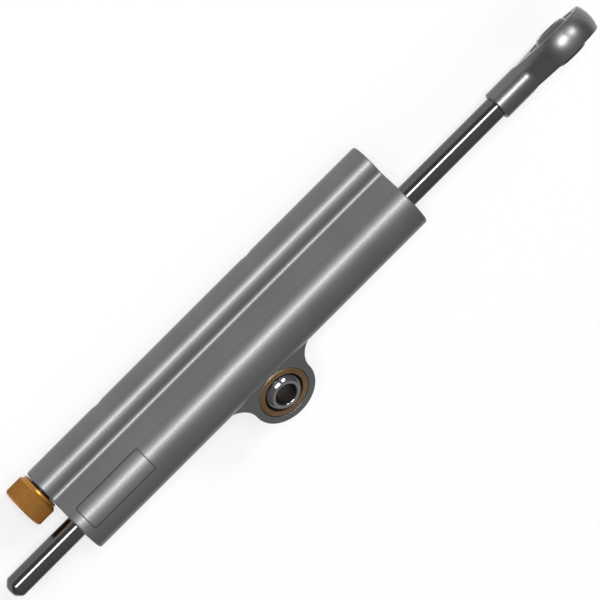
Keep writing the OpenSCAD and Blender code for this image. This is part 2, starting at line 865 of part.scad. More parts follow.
module valve_needle() {
    thread_top = flange_z - needle_head_room;
    shank_top = nut_end - 1.2;
    shank_bottom = housing_end - 1;
    taper_top = -seat_place + 0.5;
    color(bright_steel) on_reservoir_axis(knob_face_x, -1) {
        translate([0, 0, shank_top]) cylinder(r = thread_r - run, h = thread_top - shank_top);
        translate([0, 0, shank_bottom]) linear_extrude(shank_top - shank_bottom)
            needle_section(0);
        translate([0, 0, taper_top]) cylinder(r = needle_tip_r, h = shank_bottom - taper_top);
        translate([0, 0, taper_top - needle_taper])
            cylinder(r1 = needle_point_r, r2 = needle_tip_r, h = needle_taper);
    }
}

module valve_seat() {
    color(brass) on_reservoir_axis(knob_face_x + seat_place)
        tube(reservoir_bore_r - fit, needle_tip_r + 2 * run, seat_len);
}

// Reservoir: a separator piston on a spring, closed by a plug at the rod end
module separator_piston() {
    groove_end = separator_groove_z + separator_groove_w;
    groove_r = separator_r - separator_groove;
    cup_r = separator_r - 1.05;
    color(plain_aluminium) on_reservoir_axis(rod_face_x, -1) translate([0, 0, separator_start])
        turned([
            [0, separator_cup], [cup_r, separator_cup], [cup_r, 0], [separator_r, 0],
            [separator_r, separator_groove_z], [groove_r, separator_groove_z],
            [groove_r, groove_end], [separator_r, groove_end],
            [separator_r, separator_len - 0.4], [separator_r - 0.4, separator_len],
            [0, separator_len]
        ]);
}

module separator_o_ring() {
    color(rubber_black) on_reservoir_axis(rod_face_x, -1)
        translate([0, 0, separator_start + separator_groove_z + separator_groove_w / 2])
            o_ring(separator_r - separator_groove + fit / 2, reservoir_bore_r - fit);
}

module separator_spring() {
    start = plug_stop + spring_gap;
    length = spring_room - 2 * spring_gap;
    color(spring_steel) on_reservoir_axis(rod_face_x, -1)
        translate([0, 0, start]) coil_spring(reservoir_bore_r - 1.9, 0.4, length, 7);
}

module end_plug() {
    wall_r = reservoir_bore_r - fit;
    groove_r = wall_r - plug_groove;
    groove_start = plug_middle - plug_groove_w / 2;
    groove_end = plug_middle + plug_groove_w / 2;
    color(plain_aluminium) on_reservoir_axis(rod_face_x, -1) turned([
        [pull_hole_r, plug_start + 0.4], [pull_hole_r + 0.4, plug_start], [wall_r, plug_start],
        [wall_r, groove_start], [groove_r, groove_start],
        [groove_r, groove_end], [wall_r, groove_end], [wall_r, plug_stop],
        [plug_boss_r, plug_stop], [plug_boss_r, plug_stop + plug_boss_len],
        [0, plug_stop + plug_boss_len],
        [0, plug_start + pull_hole_depth + pull_hole_point],
        [pull_hole_r, plug_start + pull_hole_depth]
    ]);
}

module end_plug_o_ring() {
    color(rubber_black) on_reservoir_axis(rod_face_x, -1) translate([0, 0, plug_middle])
        o_ring(reservoir_bore_r - fit / 2 - plug_groove, reservoir_bore_r - fit / 2);
}

module end_plug_ring() {
    color(spring_steel) on_reservoir_axis(rod_face_x, -1) translate([0, 0, small_ring_inset])
        bore_ring(reservoir_bore_r + ring_groove_depth, 1.1, 0.8, small_ring_t);
}

damper_body();
ear_race();
ear_ball();
knob_end_guide();
knob_end_bush();
knob_end_seal();
knob_end_wiper();
knob_end_o_ring();
knob_end_retaining_ring();
rod_end_guide();
rod_end_bush();
rod_end_seal();
rod_end_wiper();
rod_end_o_ring();
rod_end_retaining_ring();
piston_rod();
piston();
piston_band();
piston_clips();
rod_end();
rod_end_race();
rod_end_ball();
adjuster_knob();
knob_screw();
adjuster_shaft();
shaft_o_ring();
detent_ball();
detent_spring();
adjuster_housing();
housing_o_ring();
needle_guide();
valve_needle();
valve_seat();
separator_piston();
separator_o_ring();
separator_spring();
end_plug();
end_plug_o_ring();
end_plug_ring();
drilling_screws();
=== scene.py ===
import json
import math

import bmesh
import bpy
from mathutils import Matrix, Vector


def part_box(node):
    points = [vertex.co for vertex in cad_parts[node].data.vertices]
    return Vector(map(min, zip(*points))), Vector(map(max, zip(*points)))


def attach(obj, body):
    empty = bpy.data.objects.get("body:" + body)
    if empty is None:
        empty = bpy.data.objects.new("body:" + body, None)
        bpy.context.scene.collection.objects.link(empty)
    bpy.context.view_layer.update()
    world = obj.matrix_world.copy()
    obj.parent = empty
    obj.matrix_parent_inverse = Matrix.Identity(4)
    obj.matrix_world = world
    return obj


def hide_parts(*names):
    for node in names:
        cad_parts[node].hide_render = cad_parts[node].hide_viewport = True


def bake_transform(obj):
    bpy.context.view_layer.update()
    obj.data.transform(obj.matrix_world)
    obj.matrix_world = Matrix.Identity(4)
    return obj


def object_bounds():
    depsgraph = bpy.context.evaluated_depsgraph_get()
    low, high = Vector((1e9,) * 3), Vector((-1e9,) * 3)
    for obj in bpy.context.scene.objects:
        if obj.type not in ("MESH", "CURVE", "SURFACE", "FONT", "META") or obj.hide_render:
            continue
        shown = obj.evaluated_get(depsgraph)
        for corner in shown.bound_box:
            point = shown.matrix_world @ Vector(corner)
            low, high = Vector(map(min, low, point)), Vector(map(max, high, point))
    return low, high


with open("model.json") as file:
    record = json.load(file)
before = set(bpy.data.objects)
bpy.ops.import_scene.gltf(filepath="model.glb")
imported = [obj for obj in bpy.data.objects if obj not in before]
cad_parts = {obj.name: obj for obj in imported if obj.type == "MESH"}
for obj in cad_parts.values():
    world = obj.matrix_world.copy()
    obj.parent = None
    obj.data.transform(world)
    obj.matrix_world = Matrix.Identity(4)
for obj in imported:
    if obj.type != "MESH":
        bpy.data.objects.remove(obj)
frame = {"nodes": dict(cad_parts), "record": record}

# The looks of a steering damper: a twin-tube body with a swivel ear, a sliding rod with a
# swivel rod end, and a ribbed adjuster knob. Sizes are in millimetres and are turned to metres
# as pieces are made. A place is read from the frame wherever the frame has it.

MM = 0.001
ALONG = Vector((1, 0, 0))
cad_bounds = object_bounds()


def middle(node):
    """The centre of a CAD node's box, in millimetres."""
    low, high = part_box(node)
    return (low + high) / 2 / MM


def extent(node):
    """The lengths of a CAD node's box, in millimetres."""
    low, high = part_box(node)
    return (high - low) / MM


def ends(node):
    """The lowest and highest X of a CAD node, in millimetres."""
    low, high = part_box(node)
    return low.x / MM, high.x / MM


def mount(name):
    """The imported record's mount of that name."""
    return next(m for m in frame["record"]["mounts"] if m["name"] == name)


# Sizes read from the frame
BODY_START, BODY_END = ends("damper_body")
BODY_LEN = BODY_END - BODY_START
ROD_AXIS = middle("piston_rod") * Vector((0, 1, 1))
RESERVOIR_AXIS = middle("valve_seat") * Vector((0, 1, 1))
SPACING = (RESERVOIR_AXIS - ROD_AXIS).length
ACROSS = (RESERVOIR_AXIS - ROD_AXIS).normalized()
FACING = ALONG.cross(ACROSS)
MAIN_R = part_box("damper_body")[1].z / MM - ROD_AXIS.z
RESERVOIR_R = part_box("damper_body")[1].y / MM - RESERVOIR_AXIS.y
EAR_R = -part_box("damper_body")[0].y / MM
RACE_R = extent("ear_race").x / 2
RACE_W = extent("ear_race").z
BALL_R = extent("ear_ball").x / 2
BALL_W = extent("ear_ball").z
BOLT_R = mount("ear_bolt_hole")["dims"]["r_mm"]
ROD_R = extent("piston_rod").y / 2
ROD_START, ROD_STOP = ends("piston_rod")
HEAD_CENTRE = Vector(mount("rod_end_bolt_hole")["pos_m"]) / MM
HEAD_AXIS = Vector(mount("rod_end_bolt_hole")["axis"])
HEAD_START, HEAD_STOP = ends("rod_end")
HEAD_R = HEAD_STOP - HEAD_CENTRE.x
KNOB_START, KNOB_STOP = ends("adjuster_knob")
KNOB_R = extent("adjuster_knob").y / 2
SCREW_START, SCREW_STOP = ends("drilling_screws")
SPRING_FAR, SPRING_NEAR = ends("separator_spring")

# Fits, cuts and eased edges. A cutter stands past the face that it cuts.
FIT = 0.02
PAST = 1
HAIR_EDGE, FINE_EDGE, ROD_EDGE, TURNED_EDGE = 0.06, 0.08, 0.1, 0.12

# How near a face or corner lies to a size for it to be picked by that size
CLOSE = 0.01

# Body. The engraved line lies at least PANEL_ABOVE_SEAT outside the guide's seat.
WEB_LEAN = math.radians(30)
VALLEY_R = 2.8
END_CHAMFER = 0.8
EAR_ROOT_R, EAR_EDGE = 10, 0.4
SEAT_R, SEAT_DEPTH, SEAT_MOUTH = 9, 30, 0.4
BORE_R = 8
RING_R, RING_FROM, RING_TO = 9.5, 1.5, 2.5
RESERVOIR_BORE_R, RESERVOIR_MOUTH = 5, 0.3
HOUSING_R, HOUSING_DEPTH = 5.5, 26
PLUG_RING_R, PLUG_RING_FROM, PLUG_RING_TO = 5.5, 0.9, 1.7
SCREW_R, SCREW_SEAT, SCREW_MOUTH = 2, 1.9, 0.35
PANEL_FROM, PANEL_LEN, PANEL_W = 3.6, 28.1, 9.4
PANEL_LINE, PANEL_DEPTH, PANEL_CORNER = 0.4, 0.25, 0.8
PANEL_CUTTER_ROOT, PANEL_CUTTER_H, PANEL_CORE_SPARE = 3, 5, 10
PANEL_ABOVE_SEAT = 0.6

# Swivel bearings
RACE_EDGE, RACE_MOUTH, RACE_SEAT_EDGE = 0.4, 0.7, 0.06
BALL_PLAY = 0.05
BOLT_EDGE = 0.3

# Rod. The tip is given as distances from the end with shares of the rod's radius.
ROD_TIP = ((0, 0.45), (0.26, 0.58), (1.82, 0.94), (2.604, 1))
ROD_INSET = 1.2
SPIGOT_R, SPIGOT_EDGE = 3, 0.5
SPIGOT_HOLE, DRILL_POINT = 12.5, 1.5

# Rod end
SHANK_R, SHANK_EDGE, SHANK_MOUTH = 5.3, 0.4, 0.7
HEAD_W = 9.6
NECK = math.radians(32)
NECK_TOUCH = math.radians(7)
NECK_ROOT_R = 5
RAMP_SLOPE, RAMP_LEAD = 0.25, 0.5
MILL_PAST_TIP, MILL_PAST_SIDE, MILL_SPREAD = 5, 2, 1.5

# Knob. The collar's edge is given as distances back from the end with steps inwards.
FLUTES, FLUTE_DEPTH = 72, 0.12
GRIP_LEN, GRIP_EDGE = 6.8, 0.6
COLLAR_R = 6.95
COLLAR_EDGE = ((0.4, 0), (0.1, 0.15), (0, 0.4))
RECESS_RIM, RECESS_DEPTH = 1.8, 0.3
SCREW_CONE_R, SCREW_HOLE_R, SCREW_HOLE_TO = 2.75, 1.35, 1.9
HOLLOW_R, HOLLOW_DEPTH = 4.25, 4.1
SHAFT_HOLE_R, SHAFT_HOLE_FROM = 2.02, 2.1
KNOB_SCREW_SINK, KNOB_SCREW_HEAD_R, KNOB_SCREW_CONE = 0.35, 2.25, 1.05
KNOB_SCREW_R, KNOB_SCREW_LEN = 1.25, 9
KNOB_SCREW_HEX, KNOB_SCREW_SOCKET = 1.5, 0.8

# Guides and wipers. The lip is given as distances from the guide's face with distances off the rod.
GUIDE_FROM = 2.5
POCKET_R, POCKET_TO = 6.5, 11
GROOVE_R, GROOVE_FROM, GROOVE_TO = 7.5, 25, 27
NOSE_R, NOSE_TO = 6.5, 34.5
BUSH_R, BUSH_FROM = 5, 22.2
GUIDE_PLAY = 0.3
WIPER_LIP = ((-0.9, 0), (-0.9, 0.35), (-0.2, 0.55), (0.3, 0.9))
WIPER_FACE, WIPER_BACK, WIPER_RELIEF, WIPER_RELIEF_FROM = 0.3, 3.9, 0.6, 2

# Retaining rings. How far a lug is sunk, spread and drilled, as shares of its radius.
RING_BAND, RING_LUG_R = 1.6, 1.2
PLUG_RING_BAND, PLUG_RING_LUG_R = 1.1, 0.8
LUG_SINK, LUG_SPREAD, LUG_HOLE = 0.35, 1.5, 0.45

# Adjuster's housing, drilling screws, plug and spring
HOUSING_NOSE_R, HOUSING_NOSE_LEN, HOUSING_EDGE = 4, 4, 0.2
HOUSING_FACE, HOUSING_MOUTH = 0.3, 0.1
CHAMBER_R, CHAMBER_FROM = 3.42, 8
DRILLING_SCREW_SINK, DRILLING_SCREW_LEN, DRILLING_SCREW_SOCKET = 0.3, 1.5, 0.9
PLUG_LEN, PLUG_EDGE = 6.3, 0.2
PLUG_GROOVE_FROM, PLUG_GROOVE_TO, PLUG_GROOVE_DEPTH = 2.4, 3.9, 0.9
PULLER_R, PULLER_MOUTH, PULLER_TO, PULLER_POINT = 1.25, 0.4, 3, 0.5
PLUG_NOSE_R, PLUG_NOSE_LEN = 2, 1.5
COIL_R, COIL_WIRE_R, COIL_TURNS = 3.1, 0.4, 7

# The size of the faint clouds in a finish
CLOUD = 18

# Studio, in metres and shares of light
FLOOR_SIZE = 8
FLOOR_GLOW = 0.62
LAMP_REACH = 6
WALLS, CEILING = 0.24, 0.5
SIDE_LAMP_ASIDE = 0.78

# The photograph's view
TO_CAMERA = Vector((0, 1, 1)).normalized()
DOWN_PICTURE = Vector((0, -1, 1)).normalized()
PIXELS = 600
PIXELS_PER_MM = 3.05
CAMERA_REACH = 1050
CAMERA_FOOT_X = -16
AIM_X, AIM_DOWN = 24.9, -0.69
SENSOR, NEAR_LIMIT = 36, 0.05

# How squarely a face looks along a line for it to count, as the cosine of the angle between them
SQUARE_ON = 0.9
# RACE_HOLLOW and BALL_BORE pick the faces that get painted shade, and BALL_FLAT the flats that get a painted
# reflection.
RACE_HOLLOW, BALL_BORE, BALL_FLAT = 0.3, 0.9, 0.95

# Steps round a turned piece
COARSE, MEDIUM, FINE, FINEST = 64, 96, 160, 300


# Helpers for modelling

def deselect():
    """Leaves edit mode and deselects everything."""
    if bpy.context.mode != "OBJECT":
        bpy.ops.object.mode_set(mode="OBJECT")
    bpy.ops.object.select_all(action="DESELECT")


def pick(piece):
    """Selects one piece and makes it the active one."""
    deselect()
    piece.select_set(True)
    bpy.context.view_layer.objects.active = piece


def edit(piece):
    """Opens a piece in edit mode, all of it selected."""
    pick(piece)
    bpy.ops.object.mode_set(mode="EDIT")
    bpy.ops.mesh.select_all(action="SELECT")


def leave():
    """Goes back from edit mode to object mode."""
    bpy.ops.object.mode_set(mode="OBJECT")


def face_outwards():
    """Turns all faces of the piece that is being edited outwards, and leaves edit mode."""
    bpy.ops.mesh.select_all(action="SELECT")
    bpy.ops.mesh.normals_make_consistent(inside=False)
    leave()


def select_faces(piece, wanted):
    """Selects the faces for which wanted(face) is true, and nothing else."""
    bpy.ops.mesh.select_mode(type="FACE")
    bpy.ops.mesh.select_all(action="DESELECT")
    mesh = bmesh.from_edit_mesh(piece.data)
    for face in mesh.faces:
        face.select = wanted(face)
    mesh.select_flush_mode()
    bmesh.update_edit_mesh(piece.data)


def select_corners(piece, wanted):
    """Selects the vertices for which wanted(vertex) is true, and nothing else."""
    bpy.ops.mesh.select_mode(type="VERT")
    bpy.ops.mesh.select_all(action="DESELECT")
    mesh = bmesh.from_edit_mesh(piece.data)
    for corner in mesh.verts:
        corner.select = wanted(corner)
    mesh.select_flush_mode()
    bmesh.update_edit_mesh(piece.data)


def apply_modifier(piece, kind, **settings):
    """Adds a modifier with its settings and applies it."""
    pick(piece)
    modifier = piece.modifiers.new(kind, kind)
    for name, value in settings.items():
        setattr(modifier, name, value)
    bpy.ops.object.modifier_apply(modifier=modifier.name)


def joined_with(piece, other):
    """Fuses another solid into the piece."""
    apply_modifier(piece, "BOOLEAN", operation="UNION", object=other, solver="EXACT")
    bpy.data.objects.remove(other)


def cut_by(piece, *cutters):
    """Takes the cutters out of the piece."""
    for cutter in cutters:
        apply_modifier(piece, "BOOLEAN", operation="DIFFERENCE", object=cutter, solver="EXACT")
        bpy.data.objects.remove(cutter)


def placed(piece, place):
    """Moves a piece that was made round the origin to its place, into its mesh."""
    pick(piece)
    piece.matrix_world = place
    bpy.ops.object.transform_apply(location=True, rotation=True, scale=True)
    return piece


def arc(centre, radius, start, stop, steps):
    """Points along an arc, with its angles in radians."""
    angles = [start + (stop - start) * i / steps for i in range(steps + 1)]
    return [Vector((centre[0] + radius * math.cos(a), centre[1] + radius * math.sin(a))) for a in angles]


def drawn(name, points):
    """A flat face whose outline is drawn corner by corner through points in millimetres."""
    deselect()
    bpy.ops.mesh.primitive_plane_add(size=MM)
    piece = bpy.context.object
    piece.name = name
    bpy.ops.object.mode_set(mode="EDIT")
    bpy.ops.mesh.select_mode(type="VERT")
    bpy.ops.mesh.select_all(action="SELECT")
    bpy.ops.mesh.merge(type="CENTER")
    bpy.ops.transform.translate(value=points[0] * MM)
    for near, far in zip(points, points[1:]):
        bpy.ops.mesh.extrude_region_move(TRANSFORM_OT_translate={"value": (far - near) * MM})
    bpy.ops.mesh.select_all(action="SELECT")
    bpy.ops.mesh.edge_face_add()
    return piece


def prism(name, points, way):
    """A drawn face pulled out along a vector in millimetres."""
    piece = drawn(name, points)
    bpy.ops.mesh.extrude_region_move(TRANSFORM_OT_translate={"value": way * MM})
    face_outwards()
    return piece


def turned(name, outline, place, steps=128):
    """A solid spun round the local Z axis from a closed outline of (along, out) points."""
    piece = drawn(name, [Vector((out, 0, along)) for along, out in outline])
    bpy.ops.mesh.delete(type="ONLY_FACE")
    bpy.ops.mesh.select_all(action="SELECT")
    bpy.ops.mesh.spin(steps=steps, angle=math.tau, center=(0, 0, 0), axis=(0, 0, 1))
    bpy.ops.mesh.select_all(action="SELECT")
    bpy.ops.mesh.remove_doubles(threshold=0.001 * MM)
    bpy.ops.mesh.delete_loose()
    face_outwards()
    return placed(piece, place)


def chamfer_rims(piece, axis, width, segments):
    """Chamfers the rims of the two end faces of a prism along X (0), Y (1) or Z (2)."""
    edit(piece)
    select_faces(piece, lambda face: abs(face.normal[axis]) > SQUARE_ON)
    bpy.ops.mesh.region_to_loop()
    bpy.ops.mesh.bevel(offset=width * MM, segments=segments, affect="EDGES", clamp_overlap=False)
    leave()


def looking_along(axis, centre, side=ALONG):
    """The place at a centre in millimetres whose Z axis lies along axis, and whose X axis lies near side."""
    z = axis.normalized()
    x = (side - z * side.dot(z)).normalized()
    turn = Matrix((x, z.cross(x), z)).transposed().to_4x4()
    return Matrix.Translation(centre * MM) @ turn


def on_axis(line, x, way=1):
    """The place at X along an axis, with its Z axis along +X or -X."""
    return looking_along(ALONG * way, line + ALONG * x, Vector((0, 1, 0)))


def further_in(place, distance):
    """A place moved on along its own Z axis by a distance in millimetres."""
    return place @ Matrix.Translation((0, 0, distance * MM))


def eased(piece, width, segments=2):
    """Rounds the sharp edges of a clean piece, as a deburred edge is."""
    apply_modifier(piece, "BEVEL", width=width * MM, segments=segments, limit_method="ANGLE",
                   angle_limit=math.radians(30), miter_outer="MITER_ARC", use_clamp_overlap=True)
    return piece


def smooth(piece, angle=30, weighted=True):
    """Shades a piece smooth, with the edges sharper than an angle in degrees kept."""
    pick(piece)
    bpy.ops.object.shade_smooth_by_angle(angle=math.radians(angle))
    if weighted:
        apply_modifier(piece, "WEIGHTED_NORMAL", keep_sharp=True)
    return piece


# Body

def section_outline():
    """The twin-tube section: two circles, the flats between them and a radius in each valley."""
    normal = Vector((math.sin(WEB_LEAN), math.cos(WEB_LEAN)))
    way = Vector((math.cos(WEB_LEAN), -math.sin(WEB_LEAN)))
    lift = MAIN_R + VALLEY_R
    reach = RESERVOIR_R + VALLEY_R
    span = SPACING * way.x - math.sqrt(reach ** 2 - (lift - SPACING * normal.x) ** 2)
    valley = normal * lift + way * span
    flat_angle = math.atan2(normal.y, normal.x)
    rim_angle = math.atan2(valley.y, valley.x - SPACING)
    main = arc((0, 0), MAIN_R, flat_angle, math.tau - flat_angle, steps=150)
    small = arc((SPACING, 0), RESERVOIR_R, -rim_angle, rim_angle, steps=110)
    corner = arc(valley, VALLEY_R, rim_angle - math.pi, flat_angle - math.pi, steps=12)
    far_corner = [Vector((p.x, -p.y)) for p in reversed(corner)]
    return main + far_corner + small[1:-1] + corner


def twin_tubes():
    """The extrusion, with its ends chamfered."""
    start = ROD_AXIS + ALONG * BODY_START
    points = [start + ACROSS * p.x + FACING * p.y for p in section_outline()]
    piece = prism("twin_tube_body", points, ALONG * BODY_LEN)
    chamfer_rims(piece, 0, END_CHAMFER, 2)
    return piece


def ear():
    """The ear: a round lobe with a large radius on each side where it runs into the main tube."""
    root_y = ROD_AXIS.y - math.sqrt(MAIN_R ** 2 - (RACE_W / 2) ** 2) + FIT
    centre_y = root_y - EAR_ROOT_R
    centre_x = math.sqrt((EAR_R + EAR_ROOT_R) ** 2 - centre_y ** 2)
    lean = math.atan2(centre_y, centre_x)
    lobe = arc((0, 0), EAR_R, math.pi - lean, math.tau + lean, steps=110)
    right = arc((centre_x, centre_y), EAR_ROOT_R, lean + math.pi, math.pi / 2, steps=26)
    left = [Vector((-p.x, p.y)) for p in reversed(right)]
    inside_y = ROD_AXIS.y - MAIN_R / 2
    back = [Vector((centre_x, inside_y)), Vector((-centre_x, inside_y))]
    points = [Vector((p.x, p.y, -RACE_W / 2)) for p in lobe[1:-1] + right + back + left]
    piece = prism("ear", points, Vector((0, 0, RACE_W)))
    chamfer_rims(piece, 2, EAR_EDGE, 3)
    return piece


def rod_bore():
    """What is bored out of the main tube, with a guide's seat and a ring groove at each end."""
    near = [
        (-PAST, SEAT_R + SEAT_MOUTH + PAST), (SEAT_MOUTH, SEAT_R), (RING_FROM, SEAT_R),
        (RING_FROM, RING_R), (RING_TO, RING_R), (RING_TO, SEAT_R), (SEAT_DEPTH, SEAT_R),
        (SEAT_DEPTH, BORE_R),
    ]
    far = [(BODY_LEN - along, out) for along, out in reversed(near)]
    outline = [(-PAST, 0)] + near + far + [(BODY_LEN + PAST, 0)]
    return turned("rod_bore", outline, on_axis(ROD_AXIS, BODY_START))


def reservoir_bore():
    """What is bored out of the reservoir tube, wider at the adjuster and grooved at the far end."""
    ring_from, ring_to = BODY_LEN - PLUG_RING_FROM, BODY_LEN - PLUG_RING_TO
    outline = [
        (-PAST, 0), (-PAST, HOUSING_R + RESERVOIR_MOUTH + PAST), (RESERVOIR_MOUTH, HOUSING_R),
        (HOUSING_DEPTH, HOUSING_R), (HOUSING_DEPTH, RESERVOIR_BORE_R), (ring_to, RESERVOIR_BORE_R),
        (ring_to, PLUG_RING_R), (ring_from, PLUG_RING_R), (ring_from, RESERVOIR_BORE_R),
        (BODY_LEN - RESERVOIR_MOUTH, RESERVOIR_BORE_R),
        (BODY_LEN + PAST, RESERVOIR_BORE_R + RESERVOIR_MOUTH + PAST), (BODY_LEN + PAST, 0),
    ]
    return turned("reservoir_bore", outline, on_axis(RESERVOIR_AXIS, BODY_START))


def race_seat(name, place, width):
    """A hole for a race, with a hair of a chamfer at each face."""
    radius = RACE_R + FIT
    edge = RACE_SEAT_EDGE
    outline = [
        (-width, 0), (-width, radius + edge + width / 2), (-width / 2, radius + edge),
        (edge - width / 2, radius), (width / 2 - edge, radius), (width / 2, radius + edge),
        (width, radius + edge + width / 2), (width, 0),
    ]
    return turned(name, outline, place)


def screw_seats():
    """The seats of the two screws that close the cross drillings."""
    surface_line = RESERVOIR_AXIS + ACROSS * RESERVOIR_R
    outline = [
        (-SCREW_SEAT, 0), (-SCREW_SEAT, SCREW_R + FIT), (-SCREW_MOUTH, SCREW_R + FIT),
        (PAST, SCREW_R + SCREW_MOUTH + PAST), (PAST, 0),
    ]
    places = [
        looking_along(ACROSS, surface_line + ALONG * x)
        for x in (SCREW_START + SCREW_R, SCREW_STOP - SCREW_R)
    ]
    return [turned("screw_seat", outline, place, steps=COARSE) for place in places]


def panel_groove():
    """The engraved line round the panel: a frame that is hollowed to follow the tube."""
    middle_x = BODY_START + PANEL_FROM + PANEL_LEN / 2
    half_len, half_w = PANEL_LEN / 2 - PANEL_CORNER, PANEL_W / 2 - PANEL_CORNER
    corners = [(half_len, half_w), (-half_len, half_w), (-half_len, -half_w), (half_len, -half_w)]
    outline = []
    for quarter, corner in enumerate(corners):
        start = quarter * math.pi / 2
        outline += arc(corner, PANEL_CORNER, start, start + math.pi / 2, steps=6)
    base = ROD_AXIS + ALONG * middle_x + FACING * (MAIN_R - PANEL_CUTTER_ROOT)
    line = drawn("panel_groove", [base + ALONG * p.x + ACROSS * p.y for p in outline])
    bpy.ops.mesh.select_mode(type="FACE")
    bpy.ops.mesh.select_all(action="SELECT")
    bpy.ops.mesh.inset(thickness=PANEL_LINE * MM)
    bpy.ops.mesh.delete(type="FACE")
    bpy.ops.mesh.select_all(action="SELECT")
    bpy.ops.mesh.extrude_region_move(TRANSFORM_OT_translate={"value": FACING * PANEL_CUTTER_H * MM})
    face_outwards()
    core_r = MAIN_R - PANEL_DEPTH
    core_len = PANEL_LEN + PANEL_CORE_SPARE
    core = [(0, 0), (0, core_r), (core_len, core_r), (core_len, 0)]
    cut_by(line, turned("core", core, on_axis(ROD_AXIS, BODY_START - PAST), steps=FINEST))
    return line


def damper_body():
    """The body: tubes and ear fused, then bored, seated, grooved and engraved."""
    piece = twin_tubes()
    joined_with(piece, ear())
    ear_seat = race_seat("ear_seat", Matrix.Identity(4), RACE_W)
    cut_by(piece, rod_bore(), reservoir_bore(), ear_seat, panel_groove(), *screw_seats())
    return smooth(piece)


# Swivel bearings

def race(name, place):
    """A race: a chamfered ring, hollowed to the ball, with a bevelled mouth."""
    half = RACE_W / 2
    hollow_r = BALL_R + BALL_PLAY
    lip_angle = math.asin((half - RACE_EDGE) / hollow_r)
    mouth_r = math.sqrt(BALL_R ** 2 - half ** 2) + RACE_MOUTH
    hollow = [(p.y, p.x) for p in arc((0, 0), hollow_r, lip_angle, -lip_angle, steps=24)]
    outline = [
        (-half, mouth_r), (-half, RACE_R - RACE_EDGE), (RACE_EDGE - half, RACE_R),
        (half - RACE_EDGE, RACE_R), (half, RACE_R - RACE_EDGE), (half, mouth_r),
    ] + hollow
    return smooth(eased(turned(name, outline, place, steps=FINE), FINE_EDGE))


def ball(name, place):
    """A polished ball with two flat faces and a bolt hole."""
    half = BALL_W / 2
    face_angle = math.asin(half / BALL_R)
    crown = [(p.y, p.x) for p in arc((0, 0), BALL_R, -face_angle, face_angle, steps=40)]
    outline = crown + [
        (half, BOLT_R + BOLT_EDGE), (half - BOLT_EDGE, BOLT_R), (BOLT_EDGE - half, BOLT_R),
        (-half, BOLT_R + BOLT_EDGE),
    ]
    return smooth(eased(turned(name, outline, place, steps=FINE), TURNED_EDGE, 3))


# Rod and rod end

def piston_rod():
    """The rod: a tapered tip, the long ground shaft and the thin spigot inside the rod end."""
    length = ROD_STOP - ROD_START
    shoulder = HEAD_START + ROD_INSET - ROD_START
    tip = [(along, ROD_R * share) for along, share in ROD_TIP]
    outline = [(0, 0)] + tip + [
        (shoulder, ROD_R), (shoulder, SPIGOT_R), (length - SPIGOT_EDGE, SPIGOT_R),
        (length, SPIGOT_R - SPIGOT_EDGE), (length, 0),
    ]
    blank = turned("ground_rod", outline, on_axis(ROD_AXIS, ROD_START), steps=FINE)
    return smooth(eased(blank, ROD_EDGE), 40)


def neck_places():
    """The angle at which the cone meets the head, and where its hollow root leaves the shank."""
    touch = NECK + NECK_TOUCH
    top = Vector((HEAD_R * math.cos(touch), -HEAD_R * math.sin(touch)))
    foot = top.y - (top.x - SHANK_R) / math.tan(NECK)
    return touch, foot - NECK_ROOT_R * math.tan(NECK / 2)


def head_outline():
    """The rod end before its flats are milled: shank, hollow root, cone and round head."""
    mouth = HEAD_START - HEAD_CENTRE.x
    floor_of_inset = mouth + ROD_INSET
    bottom = floor_of_inset + SPIGOT_HOLE
    touch, root_start = neck_places()
    root = arc((SHANK_R + NECK_ROOT_R, root_start), NECK_ROOT_R, math.pi, math.pi - NECK, steps=12)
    head = arc((0, 0), HEAD_R, -touch, math.pi / 2, steps=60)
    hole = [
        (bottom + DRILL_POINT, 0), (bottom, SPIGOT_R + FIT), (floor_of_inset, SPIGOT_R + FIT),
        (floor_of_inset, ROD_R + FIT), (mouth + SHANK_MOUTH, ROD_R + FIT), (mouth, ROD_R + SHANK_MOUTH),
        (mouth, SHANK_R - SHANK_EDGE), (mouth + SHANK_EDGE, SHANK_R),
    ]
    return hole + [(p.y, p.x) for p in root + head[:-1]] + [(HEAD_R, 0)]


def head_flat(side):
    """What is milled off one side of the head, in a shallow ramp that runs out on the shank."""
    ramp_end = neck_places()[1] - RAMP_LEAD
    ramp_start = ramp_end + (SHANK_R - HEAD_W / 2) / RAMP_SLOPE
    far_end = ramp_end - PAST / RAMP_SLOPE
    past_tip, past_side = HEAD_R + MILL_PAST_TIP, HEAD_R + MILL_PAST_SIDE
    profile = [
        (ramp_start, HEAD_W / 2), (past_tip, HEAD_W / 2), (past_tip, past_side),
        (far_end, past_side), (far_end, SHANK_R + PAST),
    ]
    across = HEAD_AXIS.cross(ALONG)
    start = HEAD_CENTRE - across * HEAD_R * MILL_SPREAD
    points = [start + ALONG * x + HEAD_AXIS * z * side for x, z in profile]
    return prism("head_flat", points, across * HEAD_R * 2 * MILL_SPREAD)


def rod_end():
    """The rod end: a turned blank with two milled flats and the seat of its race."""
    blank = turned("rod_end_forging", head_outline(), on_axis(ROD_AXIS, HEAD_CENTRE.x), steps=FINE)
    seat = race_seat("head_seat", looking_along(HEAD_AXIS, HEAD_CENTRE), HEAD_W)
    cut_by(blank, head_flat(1), head_flat(-1), seat)
    return smooth(blank)


# Knob

